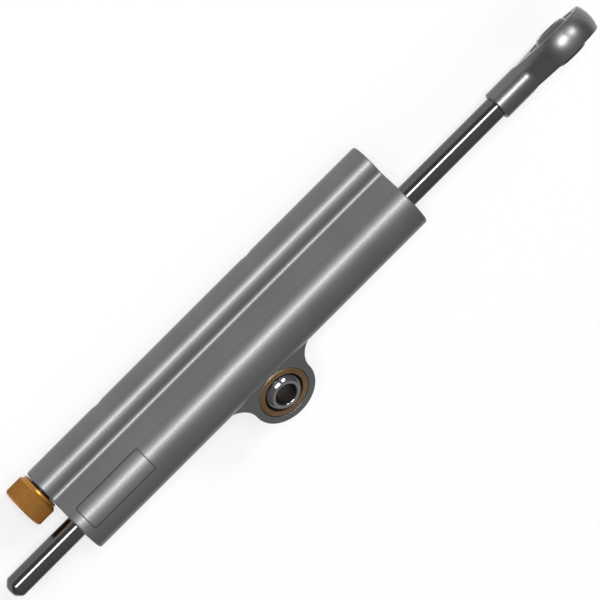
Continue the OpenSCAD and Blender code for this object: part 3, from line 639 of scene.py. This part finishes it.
def adjuster_knob():
    """The knob: one cylinder, shaped to a ribbed grip, a plain collar, a recess and a hollow."""
    length = KNOB_STOP - KNOB_START
    deselect()
    bpy.ops.mesh.primitive_cylinder_add(
        vertices=2 * FLUTES, radius=KNOB_R * MM, depth=(GRIP_LEN - GRIP_EDGE) * MM,
        location=(0, 0, (GRIP_LEN + GRIP_EDGE) / 2 * MM))
    piece = bpy.context.object
    piece.name = "ribbed_knob"
    bpy.ops.object.transform_apply(location=True)
    edit(piece)

    def pull_face_through(steps):
        """Pulls the selected end face on through (along, out) steps, and then takes it away."""
        for along, out in steps:
            face = next(f for f in bmesh.from_edit_mesh(piece.data).faces if f.select)
            centre = face.calc_center_median()
            share = out * MM / max((v.co - centre).length for v in face.verts)
            way = (0, 0, along * MM - centre.z)
            bpy.ops.mesh.extrude_region_move(TRANSFORM_OT_translate={"value": way})
            bpy.ops.transform.resize(value=(share, share, 1), center_override=(0, 0, along * MM))
        bpy.ops.mesh.delete(type="ONLY_FACE")

    # The outer end: chamfer, shallow recess and the screw's countersink
    rim_r = KNOB_R - RECESS_RIM
    cone_to = RECESS_DEPTH + SCREW_CONE_R - SCREW_HOLE_R
    select_faces(piece, lambda face: face.normal.z < -SQUARE_ON)
    pull_face_through([
        (0, KNOB_R - GRIP_EDGE), (0, rim_r), (RECESS_DEPTH, rim_r - RECESS_DEPTH),
        (RECESS_DEPTH, SCREW_CONE_R), (cone_to, SCREW_HOLE_R), (SCREW_HOLE_TO, SCREW_HOLE_R),
    ])
    # The inner end: slope, collar, and the hollow round the housing's nose
    collar_start = GRIP_LEN + KNOB_R - COLLAR_R
    hollow_to = length - HOLLOW_DEPTH
    collar_end = [(length - back, COLLAR_R - inwards) for back, inwards in COLLAR_EDGE]
    select_faces(piece, lambda face: face.normal.z > SQUARE_ON and len(face.verts) > 2 * FLUTES - 1)
    pull_face_through([(collar_start, COLLAR_R)] + collar_end + [
        (length, HOLLOW_R), (hollow_to, HOLLOW_R), (hollow_to, SHAFT_HOLE_R),
        (SHAFT_HOLE_FROM, SHAFT_HOLE_R), (SHAFT_HOLE_FROM, SCREW_HOLE_R),
    ])
    # The screw's hole joins the two ends
    select_corners(piece, lambda corner: corner.is_boundary)
    bpy.ops.mesh.select_mode(type="EDGE")
    bpy.ops.mesh.bridge_edge_loops()

    def is_furrow(corner):
        """Whether a corner lies on every second line of the grip."""
        line = round(math.atan2(corner.co.y, corner.co.x) / math.tau * 2 * FLUTES)
        return line % 2 == 1 and corner.co.xy.length > (KNOB_R - CLOSE) * MM

    # Every second line of the grip is pushed in to make the ribs
    select_corners(piece, is_furrow)
    share = 1 - FLUTE_DEPTH / KNOB_R
    bpy.ops.transform.resize(value=(share, share, 1), center_override=(0, 0, 0))
    face_outwards()
    return smooth(placed(piece, on_axis(RESERVOIR_AXIS, KNOB_START)), 20, False)


# Fittings that close the tubes

def rod_guide(name, place):
    """A guide, drawn inwards from its end of the body: seat, O-ring groove, nose and seal pocket."""
    outer = SEAT_R - FIT
    hole_r = ROD_R + GUIDE_PLAY
    outline = [
        (GUIDE_FROM, POCKET_R), (GUIDE_FROM, outer), (GROOVE_FROM, outer), (GROOVE_FROM, GROOVE_R),
        (GROOVE_TO, GROOVE_R), (GROOVE_TO, outer), (SEAT_DEPTH, outer), (SEAT_DEPTH, NOSE_R),
        (NOSE_TO, NOSE_R), (NOSE_TO, BUSH_R), (BUSH_FROM, BUSH_R), (BUSH_FROM, hole_r),
        (POCKET_TO, hole_r), (POCKET_TO, POCKET_R),
    ]
    return smooth(eased(turned(name, outline, place), TURNED_EDGE))


def rod_wiper(name, place):
    """A wiper: a rubber ring whose thin lip leans out along the rod."""
    inner = ROD_R + FIT
    outer = POCKET_R - FIT
    back = GUIDE_FROM + WIPER_BACK
    outline = [(GUIDE_FROM + along, inner + out) for along, out in WIPER_LIP] + [
        (GUIDE_FROM + WIPER_FACE, outer), (back, outer), (back, inner + WIPER_RELIEF),
        (GUIDE_FROM + WIPER_RELIEF_FROM, inner),
    ]
    return smooth(eased(turned(name, outline, place), FINE_EDGE))


def retaining_ring(name, place, seat_r, band, lug_r, thickness):
    """A sprung ring for a groove, with two holed lugs beside its gap."""
    outer = seat_r - FIT
    inner = seat_r - band
    lug_place = inner - lug_r * LUG_SINK
    gap = math.asin(lug_r * LUG_SPREAD / lug_place)
    rim = arc((0, 0), outer, gap, math.tau - gap, steps=120)
    outline = rim + arc((0, 0), inner, math.tau - gap, gap, steps=120)
    piece = prism(name, [Vector((p.x, p.y, 0)) for p in outline], Vector((0, 0, thickness)))
    lugs = (lug_r, thickness, joined_with)
    holes = (lug_r * LUG_HOLE, thickness + 2 * PAST, cut_by)
    for radius, depth, work in (lugs, holes):
        for side in (-1, 1):
            spot = Vector((lug_place * math.cos(gap), side * lug_place * math.sin(gap), thickness / 2))
            deselect()
            bpy.ops.mesh.primitive_cylinder_add(
                vertices=48, radius=radius * MM, depth=depth * MM, location=spot * MM)
            work(piece, bpy.context.object)
    return smooth(placed(eased(piece, HAIR_EDGE), place))


def hex_cutter(across_flats, depth, place):
    """The hexagonal socket of a screw, from a height down along the local Z axis."""
    corners = arc((0, 0), across_flats / math.sqrt(3), 0, math.tau * 5 / 6, steps=5)
    points = [Vector((p.x, p.y, -depth)) for p in corners]
    return placed(prism("socket", points, Vector((0, 0, depth + PAST))), place)


def knob_screw():
    """The countersunk screw that holds the knob on its shaft."""
    top = KNOB_START + KNOB_SCREW_SINK
    outline = [
        (0, 0), (0, KNOB_SCREW_HEAD_R), (KNOB_SCREW_CONE, KNOB_SCREW_R),
        (KNOB_SCREW_LEN, KNOB_SCREW_R), (KNOB_SCREW_LEN, 0),
    ]
    blank = turned("countersunk_screw", outline, on_axis(RESERVOIR_AXIS, top), steps=MEDIUM)
    piece = eased(blank, HAIR_EDGE)
    cut_by(piece, hex_cutter(KNOB_SCREW_HEX, KNOB_SCREW_SOCKET, on_axis(RESERVOIR_AXIS, top, -1)))
    return smooth(piece)


def drilling_screws():
    """The two socket screws that close the cross drillings: one is made, and copied for the other."""
    head = RESERVOIR_AXIS + ACROSS * (RESERVOIR_R - DRILLING_SCREW_SINK)
    first = looking_along(ACROSS, head + ALONG * (SCREW_START + SCREW_R))
    outline = [(-DRILLING_SCREW_LEN, 0), (-DRILLING_SCREW_LEN, SCREW_R), (0, SCREW_R), (0, 0)]
    piece = eased(turned("drilling_screw", outline, first, steps=MEDIUM), TURNED_EDGE)
    cut_by(piece, hex_cutter(SCREW_R, DRILLING_SCREW_SOCKET, first))
    edit(piece)
    step = ALONG * (SCREW_STOP - SCREW_START - 2 * SCREW_R)
    bpy.ops.mesh.duplicate_move(TRANSFORM_OT_translate={"value": step * MM})
    leave()
    return smooth(piece)


def reservoir_plug():
    """The plug that closes the reservoir, with the threaded hole that it is pulled out by."""
    outer = RESERVOIR_BORE_R - FIT
    start = PLUG_RING_TO
    stop = start + PLUG_LEN
    groove_r = outer - PLUG_GROOVE_DEPTH
    groove_from, groove_to = start + PLUG_GROOVE_FROM, start + PLUG_GROOVE_TO
    outline = [
        (start + PULLER_MOUTH, PULLER_R), (start, PULLER_R + PULLER_MOUTH), (start, outer - PLUG_EDGE),
        (start + PLUG_EDGE, outer), (groove_from, outer), (groove_from, groove_r), (groove_to, groove_r),
        (groove_to, outer), (stop, outer), (stop, PLUG_NOSE_R), (stop + PLUG_NOSE_LEN, PLUG_NOSE_R),
        (stop + PLUG_NOSE_LEN, 0), (start + PULLER_TO + PULLER_POINT, 0), (start + PULLER_TO, PULLER_R),
    ]
    return smooth(eased(turned("reservoir_plug", outline, on_axis(RESERVOIR_AXIS, BODY_END, -1)), FINE_EDGE))


def adjuster_housing():
    """The housing behind the knob: a body in the tube, and a nose that shows in the knob's gap."""
    outer = HOUSING_R - FIT
    tip = -HOUSING_NOSE_LEN
    outline = [
        (tip, SHAFT_HOLE_R), (tip, HOUSING_NOSE_R - HOUSING_EDGE), (tip + HOUSING_EDGE, HOUSING_NOSE_R),
        (HOUSING_FACE, HOUSING_NOSE_R), (HOUSING_FACE, HOUSING_R - HOUSING_EDGE),
        (HOUSING_FACE + HOUSING_EDGE, outer), (HOUSING_DEPTH, outer), (HOUSING_DEPTH, CHAMBER_R),
        (CHAMBER_FROM, CHAMBER_R), (CHAMBER_FROM, SHAFT_HOLE_R), (tip + HOUSING_MOUTH, SHAFT_HOLE_R),
    ]
    return smooth(eased(turned("adjuster_nose", outline, on_axis(RESERVOIR_AXIS, BODY_START)), FINE_EDGE))


def separator_coil():
    """The separator's spring: a ring of wire that a Screw modifier winds along the tube's axis."""
    deselect()
    bpy.ops.mesh.primitive_circle_add(
        vertices=12, radius=COIL_WIRE_R * MM, location=(COIL_R * MM, 0, COIL_WIRE_R * MM),
        rotation=(math.pi / 2, 0, 0))
    piece = bpy.context.object
    piece.name = "separator_coil"
    bpy.ops.object.transform_apply(location=True, rotation=True)
    rise = SPRING_NEAR - SPRING_FAR - 2 * COIL_WIRE_R
    apply_modifier(piece, "SCREW", axis="Z", angle=COIL_TURNS * math.tau, steps=COIL_TURNS * 32,
                   screw_offset=rise * MM)
    edit(piece)
    bpy.ops.mesh.fill_holes(sides=0)
    face_outwards()
    return smooth(placed(piece, on_axis(RESERVOIR_AXIS, SPRING_NEAR, -1)), 40)


# Materials

def linear(colour):
    """The linear RGBA of an sRGB hex colour."""
    parts = [int(colour[i:i + 2], 16) / 255 for i in (1, 3, 5)]
    return [p / 12.92 if p <= 0.04045 else ((p + 0.055) / 1.055) ** 2.4 for p in parts] + [1]


def add(tree, kind, values=(), wires=(), **settings):
    """Adds a node with its settings, its input values and the links into it."""
    node = tree.nodes.new(kind)
    for name, value in settings.items():
        setattr(node, name, value)
    for socket, value in dict(values).items():
        node.inputs[socket].default_value = value
    for socket, source in dict(wires).items():
        tree.links.new(source, node.inputs[socket])
    return node


def surface(name, **values):
    """A new material with one Principled shader. Gives the material, its tree, shader and coordinates."""
    material = bpy.data.materials.new(name)
    material.use_nodes = True
    tree = material.node_tree
    shader = tree.nodes["Principled BSDF"]
    for socket, value in values.items():
        shader.inputs[socket.replace("_", " ")].default_value = value
    place = add(tree, "ShaderNodeTexCoord").outputs["Object"]
    return material, tree, shader, place


def machined(name, light, dark, metallic, rough, grain, depth, stretch=(1, 1, 1), **values):
    """A metal, or what is turned like one, with a grain of that size in millimetres.
    Stretch draws the grain out along an axis. The grain varies the colour between two tones,
    the roughness by a fifth either way, and the height by depth in millimetres."""
    material, tree, shader, place = surface(name, Metallic=metallic, **values)
    drawn_out = add(tree, "ShaderNodeMapping", {"Scale": stretch}, {"Vector": place})
    grains = add(tree, "ShaderNodeTexNoise", {"Scale": 1 / (grain * MM), "Detail": 3, "Roughness": 0.6},
                 {"Vector": drawn_out.outputs["Vector"]}).outputs["Fac"]
    clouds = add(tree, "ShaderNodeTexNoise", {"Scale": 1 / (CLOUD * MM), "Detail": 2},
                 {"Vector": place}).outputs["Fac"]
    tone = add(tree, "ShaderNodeMath", wires={0: grains, 1: clouds}, operation="MULTIPLY").outputs[0]
    share = add(tree, "ShaderNodeMapRange", {"From Min": 0.1, "From Max": 0.42}, {"Value": tone}).outputs[0]
    mix = add(tree, "ShaderNodeMix", {6: linear(dark), 7: linear(light)}, {0: share}, data_type="RGBA")
    tree.links.new(mix.outputs[2], shader.inputs["Base Color"])
    span = {"From Min": 0.2, "From Max": 0.8, "To Min": rough * 0.82, "To Max": rough * 1.18}
    gloss = add(tree, "ShaderNodeMapRange", span, {"Value": grains})
    tree.links.new(gloss.outputs[0], shader.inputs["Roughness"])
    bump = add(tree, "ShaderNodeBump", {"Strength": 1, "Distance": depth * MM}, {"Height": grains})
    tree.links.new(bump.outputs["Normal"], shader.inputs["Normal"])
    return material


def titanium_grey_anodising():
    """Satin anodised extrusion, blasted before it was dyed: its highlights are soft, without a mirror."""
    return machined("titanium_grey_anodised_aluminium", "#6d6e6f", "#636465", metallic=0.72, rough=0.43,
                    grain=0.3, depth=0.01, Coat_Weight=0.15, Coat_Roughness=0.15)


def gold_anodising():
    """Dyed anodised aluminium, turned smooth: a deep gold with a soft bright line along the collar."""
    return machined("gold_anodised_aluminium", "#b98238", "#9b6b2a", metallic=0.8, rough=0.38,
                    grain=0.35, depth=0.01)


def ribbed_gold():
    """The same gold on the fine ribs of the grip, which scatter the light: it looks even and matt."""
    return machined("ribbed_gold_anodising", "#91601a", "#6d4711", metallic=0.45, rough=0.7,
                    grain=0.5, depth=0.03)


def bearing_bronze():
    """Turned bronze: brown-gold, duller than the ball that it holds."""
    return machined("turned_bearing_bronze", "#8f7150", "#5f4930", metallic=0.65, rough=0.36,
                    grain=0.6, depth=0.012)


def tinned_bronze():
    """Bronze with a dull tin flash: a brownish grey that doesn't stand out from the steel round it."""
    return machined("tin_flashed_bronze", "#7d7a76", "#66635f", metallic=0.8, rough=0.45,
                    grain=0.4, depth=0.004)


def race_mouth_painted_shade():
    """Bronze darkened to nearly black: painted shade in the mouth and hollow of a race, round the ball."""
    return machined("race_mouth_painted_shade", "#33281c", "#1f1813", metallic=0.6, rough=0.5, grain=0.3, depth=0.004)


def bearing_steel():
    """Lapped bearing steel: a dark mirror with small sharp highlights."""
    return machined("lapped_bearing_steel", "#838386", "#747477", metallic=1, rough=0.1,
                    grain=0.5, depth=0.0002)


def darker_bearing_steel():
    """The same lapped steel, painted darker for the rod end's ball: painted shade, with the same small
    highlights.
    """
    return machined("bearing_steel_painted_shade", "#606062", "#545456", metallic=1, rough=0.14,
                    grain=0.5, depth=0.0002)


def ball_flat_painted_reflection():
    """The ground flat of a ball, with the wheel's fine marks, painted paler than its lapped crown: a painted
    reflection.
    """
    return machined("ground_steel_painted_reflection", "#b2b2b4", "#97979a", metallic=1, rough=0.28,
                    grain=0.2, depth=0.002, stretch=(1, 0.2, 1))


def bore_painted_shade():
    """Steel darkened to a dark brown for a ball's bore: painted shade inside the hole."""
    return machined("bore_shade_steel", "#4b4641", "#36312e", metallic=0.8, rough=0.4,
                    grain=0.25, depth=0.003, stretch=(1, 1, 0.2))


def engraved_line_painted_shade():
    """The floor of the engraved line: the same anodising, duller, and darkened as painted shade in the
    groove.
    """
    return machined("engraved_line_shade_anodising", "#4c4d4e", "#404142", metallic=0.6, rough=0.55,
                    grain=0.2, depth=0.004)


def hard_chrome():
    """Ground and hard-chromed steel: near a mirror. Its grinding marks are drawn coarser than they are."""
    return machined("ground_hard_chrome", "#636363", "#585859", metallic=1, rough=0.15,
                    grain=0.25, depth=0.0001, stretch=(1, 0.1, 0.1))


def plated_steel():
    """Zinc-nickel plated steel: satin, with a cool grey sheen."""
    return machined("satin_plated_steel", "#767675", "#686867", metallic=1, rough=0.34,
                    grain=0.4, depth=0.004)


def turned_aluminium():
    """Bare turned aluminium: pale, with the tool's fine rings."""
    return machined("turned_aluminium", "#c4c5c6", "#acadaf", metallic=1, rough=0.3,
                    grain=0.25, depth=0.003, stretch=(0.3, 1, 1))


def nitrile_rubber():
    """Moulded nitrile: matt black, with a faint bloom."""
    return machined("moulded_nitrile_rubber", "#1c1c1d", "#121213", metallic=0, rough=0.6,
                    grain=0.5, depth=0.01)


def black_oxide_steel():
    """Oil-blackened steel: near black, with a slight oily sheen."""
    return machined("black_oxide_steel", "#3a3a3c", "#2a2a2c", metallic=1, rough=0.42,
                    grain=0.3, depth=0.003)


def turned_brass():
    """Turned brass: yellow, satin from the tool."""
    return machined("turned_brass", "#b99a52", "#a08243", metallic=1, rough=0.28, grain=0.3, depth=0.003)


def bronze_filled_ptfe():
    """Bronze-filled PTFE: waxy brown, with specks of the bronze."""
    return machined("bronze_filled_ptfe", "#6e5c42", "#4c3f2e", metallic=0.2, rough=0.5,
                    grain=0.3, depth=0.004)


# Stage

def floor():
    """A plain white floor. What looks at it straight, or in a reflection, sees it a little lighter."""
    deselect()
    bpy.ops.mesh.primitive_plane_add(size=FLOOR_SIZE, location=(0, 0, cad_bounds[0][2]))
    piece = bpy.context.object
    piece.name = "floor"
    material, tree, shader, _ = surface("white_studio_floor", Base_Color=linear("#f8f8f8"),
                                        Roughness=0.9, Specular_IOR_Level=0.1)
    path = add(tree, "ShaderNodeLightPath").outputs
    seen = path["Is Camera Ray"]
    for ray in ("Is Glossy Ray", "Is Transmission Ray"):
        seen = add(tree, "ShaderNodeMath", wires={0: seen, 1: path[ray]}, operation="MAXIMUM").outputs[0]
    share = add(tree, "ShaderNodeMath", {1: FLOOR_GLOW}, {0: seen}, operation="MULTIPLY").outputs[0]
    glow = add(tree, "ShaderNodeEmission", {"Color": linear("#ffffff"), "Strength": 1}).outputs[0]
    mix = add(tree, "ShaderNodeMixShader", wires={0: share, 1: shader.outputs[0], 2: glow})
    tree.links.new(mix.outputs[0], tree.nodes["Material Output"].inputs["Surface"])
    piece.data.materials.append(material)


def lamp(name, direction, strength, width, height):
    """A far softbox that faces the object, its width and height as angles in degrees."""
    data = bpy.data.lights.new(name, "AREA")
    data.shape = "RECTANGLE"
    data.size = 2 * LAMP_REACH * math.tan(math.radians(width / 2))
    data.size_y = 2 * LAMP_REACH * math.tan(math.radians(height / 2))
    data.energy = strength * math.pi * LAMP_REACH ** 2
    piece = bpy.data.objects.new(name, data)
    bpy.context.scene.collection.objects.link(piece)
    sideways = (ALONG - direction * direction.dot(ALONG)).normalized()
    turn = Matrix((sideways, direction.cross(sideways), direction)).transposed().to_4x4()
    piece.matrix_world = Matrix.Translation(direction * LAMP_REACH) @ turn


def studio():
    """Two soft lamps and a dim room round them."""
    aside = (TO_CAMERA + ALONG * SIDE_LAMP_ASIDE).normalized()
    lamp("key_softbox", TO_CAMERA, strength=2.3, width=26, height=10)
    lamp("side_softbox", aside, strength=1, width=17, height=9)
    world = bpy.data.worlds.new("studio_room")
    world.use_nodes = True
    tree = world.node_tree
    background = tree.nodes["Background"]
    background.inputs["Color"].default_value = linear("#ffffff")
    place = add(tree, "ShaderNodeTexCoord").outputs["Generated"]
    height = add(tree, "ShaderNodeSeparateXYZ", wires={0: place}).outputs["Z"]
    level = add(tree, "ShaderNodeMapRange", {"To Min": WALLS, "To Max": CEILING}, {"Value": height})
    tree.links.new(level.outputs[0], background.inputs["Strength"])
    bpy.context.scene.world = world


def camera():
    """The photograph's view: square on to the body's flats, with the rod on the picture's diagonal."""
    data = bpy.data.cameras.new("camera")
    data.sensor_width = SENSOR
    data.lens = SENSOR * PIXELS_PER_MM * CAMERA_REACH / PIXELS
    data.clip_start = NEAR_LIMIT
    piece = bpy.data.objects.new("camera", data)
    bpy.context.scene.collection.objects.link(piece)
    place = ROD_AXIS + ALONG * CAMERA_FOOT_X + TO_CAMERA * CAMERA_REACH
    aim = ROD_AXIS + ALONG * AIM_X + DOWN_PICTURE * AIM_DOWN
    back = (place - aim).normalized()
    up = ALONG - DOWN_PICTURE
    up = (up - back * up.dot(back)).normalized()
    turn = Matrix((up.cross(back), up, back)).transposed().to_4x4()
    piece.matrix_world = Matrix.Translation(place * MM) @ turn
    bpy.context.scene.camera = piece


# Putting it together

def coat(piece, material):
    """Gives a new piece its first material."""
    piece.data.materials.clear()
    piece.data.materials.append(material)


def dress(piece, body, slot, *nodes, material=None):
    """Gives a new piece its slot's finish, or the material given, and its body, and hides the CAD nodes that
    it stands for.
    """
    coat(piece, material or finishes[slot])
    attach(piece, body)
    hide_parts(*nodes)


def paint(piece, material, wanted):
    """Gives the faces for which wanted(face) is true a further material."""
    piece.data.materials.append(material)
    for face in piece.data.polygons:
        if wanted(face):
            face.material_index = len(piece.data.materials) - 1


def looks_inwards(face, centre, axis):
    """How squarely a face looks at an axis: 1 for the wall of a hole round it."""
    away = face.center - centre * MM
    away -= axis * away.dot(axis)
    return -face.normal.dot(away.normalized())


def in_panel_line(face):
    """Whether a face of the body lies in the engraved line."""
    spot = face.center / MM - ROD_AXIS
    from_axis = math.hypot(spot.y, spot.z)
    return (0 < spot.x - BODY_START - PANEL_FROM < PANEL_LEN and spot.dot(FACING) > 0
            and SEAT_R + PANEL_ABOVE_SEAT < from_axis < MAIN_R - 2 * CLOSE
            and abs(spot.dot(ACROSS)) < PANEL_W / 2 + CLOSE)


def on_grip(face):
    """Whether a face of the knob lies on its ribbed grip."""
    spot = face.center / MM - RESERVOIR_AXIS
    return spot.x < KNOB_START + GRIP_LEN and math.hypot(spot.y, spot.z) > KNOB_R - 2 * FLUTE_DEPTH


def swivel_bearing(end, centre, axis, carrier, own, race_material=None, ball_material=None):
    """A race that rides on its carrier, and in it a ball that turns on a body of its own."""
    place = looking_along(axis, centre)
    ring = race(end + "_bearing_race", place)
    dress(ring, carrier, "bearing_bronze", end + "_race", material=race_material)
    # The race's mouth and hollow get a near-black bronze: painted shade round the ball.
    paint(ring, race_shade, lambda face: looks_inwards(face, centre, axis) > RACE_HOLLOW)
    inner = ball(end + "_bearing_ball", place)
    dress(inner, own, "polished_steel", end + "_ball", material=ball_material)
    # The ball's bore gets a dark brown steel: painted shade inside the hole.
    paint(inner, bore, lambda face: looks_inwards(face, centre, axis) > BALL_BORE)
    # The ball's flat faces get a paler steel: a painted reflection.
    paint(inner, ground, lambda face: abs(face.normal.dot(axis)) > BALL_FLAT)


camera()
floor()
studio()
bpy.context.scene.view_settings.view_transform = "Standard"

# The finish of each slot, which its CAD nodes wear too
finishes = {
    "grey_anodised": titanium_grey_anodising(),
    "gold_anodised": gold_anodising(),
    "bearing_bronze": bearing_bronze(),
    "polished_steel": bearing_steel(),
    "chromed_rod": hard_chrome(),
    "satin_steel": plated_steel(),
    "machined_aluminium": turned_aluminium(),
    "seal_rubber": nitrile_rubber(),
    "black_spring_steel": black_oxide_steel(),
    "valve_brass": turned_brass(),
    "filled_ptfe": bronze_filled_ptfe(),
}

body = damper_body()
dress(body, "housing", "grey_anodised", "damper_body")
# The engraved line's floor gets a darker anodising: painted shade in the groove.
paint(body, engraved_line_painted_shade(), in_panel_line)
knob = adjuster_knob()
dress(knob, "knob", "gold_anodised", "adjuster_knob")
paint(knob, ribbed_gold(), on_grip)
dress(piston_rod(), "rod", "chromed_rod", "piston_rod")
dress(rod_end(), "rod", "satin_steel", "rod_end")
# Painted shade for the races' mouths and the balls' bores, and a painted reflection for the balls' flats.
race_shade, bore, ground = race_mouth_painted_shade(), bore_painted_shade(), ball_flat_painted_reflection()
swivel_bearing("ear", Vector((0, 0, 0)), Vector((0, 0, 1)), "housing", "ear_swivel_ball")
# The rod end's ball wears the darker copy of the lapped steel: painted shade.
swivel_bearing("rod_end", HEAD_CENTRE, HEAD_AXIS, "rod", "rod_swivel_ball", tinned_bronze(), darker_bearing_steel())

knob_end, far_end = on_axis(ROD_AXIS, BODY_START), on_axis(ROD_AXIS, BODY_END, -1)
for end, place in (("knob_end", knob_end), ("rod_end", far_end)):
    dress(rod_guide(end + "_gland", place), "housing", "machined_aluminium", end + "_guide")
    dress(rod_wiper(end + "_lip", place), "housing", "seal_rubber", end + "_wiper")
    ring = retaining_ring(end + "_circlip", further_in(place, RING_FROM), RING_R, RING_BAND, RING_LUG_R,
                          RING_TO - RING_FROM)
    dress(ring, "housing", "black_spring_steel", end + "_retaining_ring")
dress(adjuster_housing(), "housing", "black_spring_steel", "adjuster_housing")
dress(knob_screw(), "knob", "black_spring_steel", "knob_screw")
dress(drilling_screws(), "housing", "satin_steel", "drilling_screws")
dress(reservoir_plug(), "housing", "machined_aluminium", "end_plug")
plug_place = further_in(on_axis(RESERVOIR_AXIS, BODY_END, -1), PLUG_RING_FROM)
ring = retaining_ring("plug_circlip", plug_place, PLUG_RING_R, PLUG_RING_BAND, PLUG_RING_LUG_R,
                      PLUG_RING_TO - PLUG_RING_FROM)
dress(ring, "housing", "black_spring_steel", "end_plug_ring")

# The separator's spring, made in its place; it is put on no body, so it does not follow the separator
coil = separator_coil()
coat(coil, finishes["black_spring_steel"])
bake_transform(coil)
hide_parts("separator_spring")

# The CAD nodes wear their slot's finish in place of their flat colour
for subpart in frame["record"]["subparts"]:
    for wearer in frame["nodes"][subpart["node"]].material_slots:
        wearer.material = finishes[subpart["material_slot"]]

bpy.context.view_layer.update()
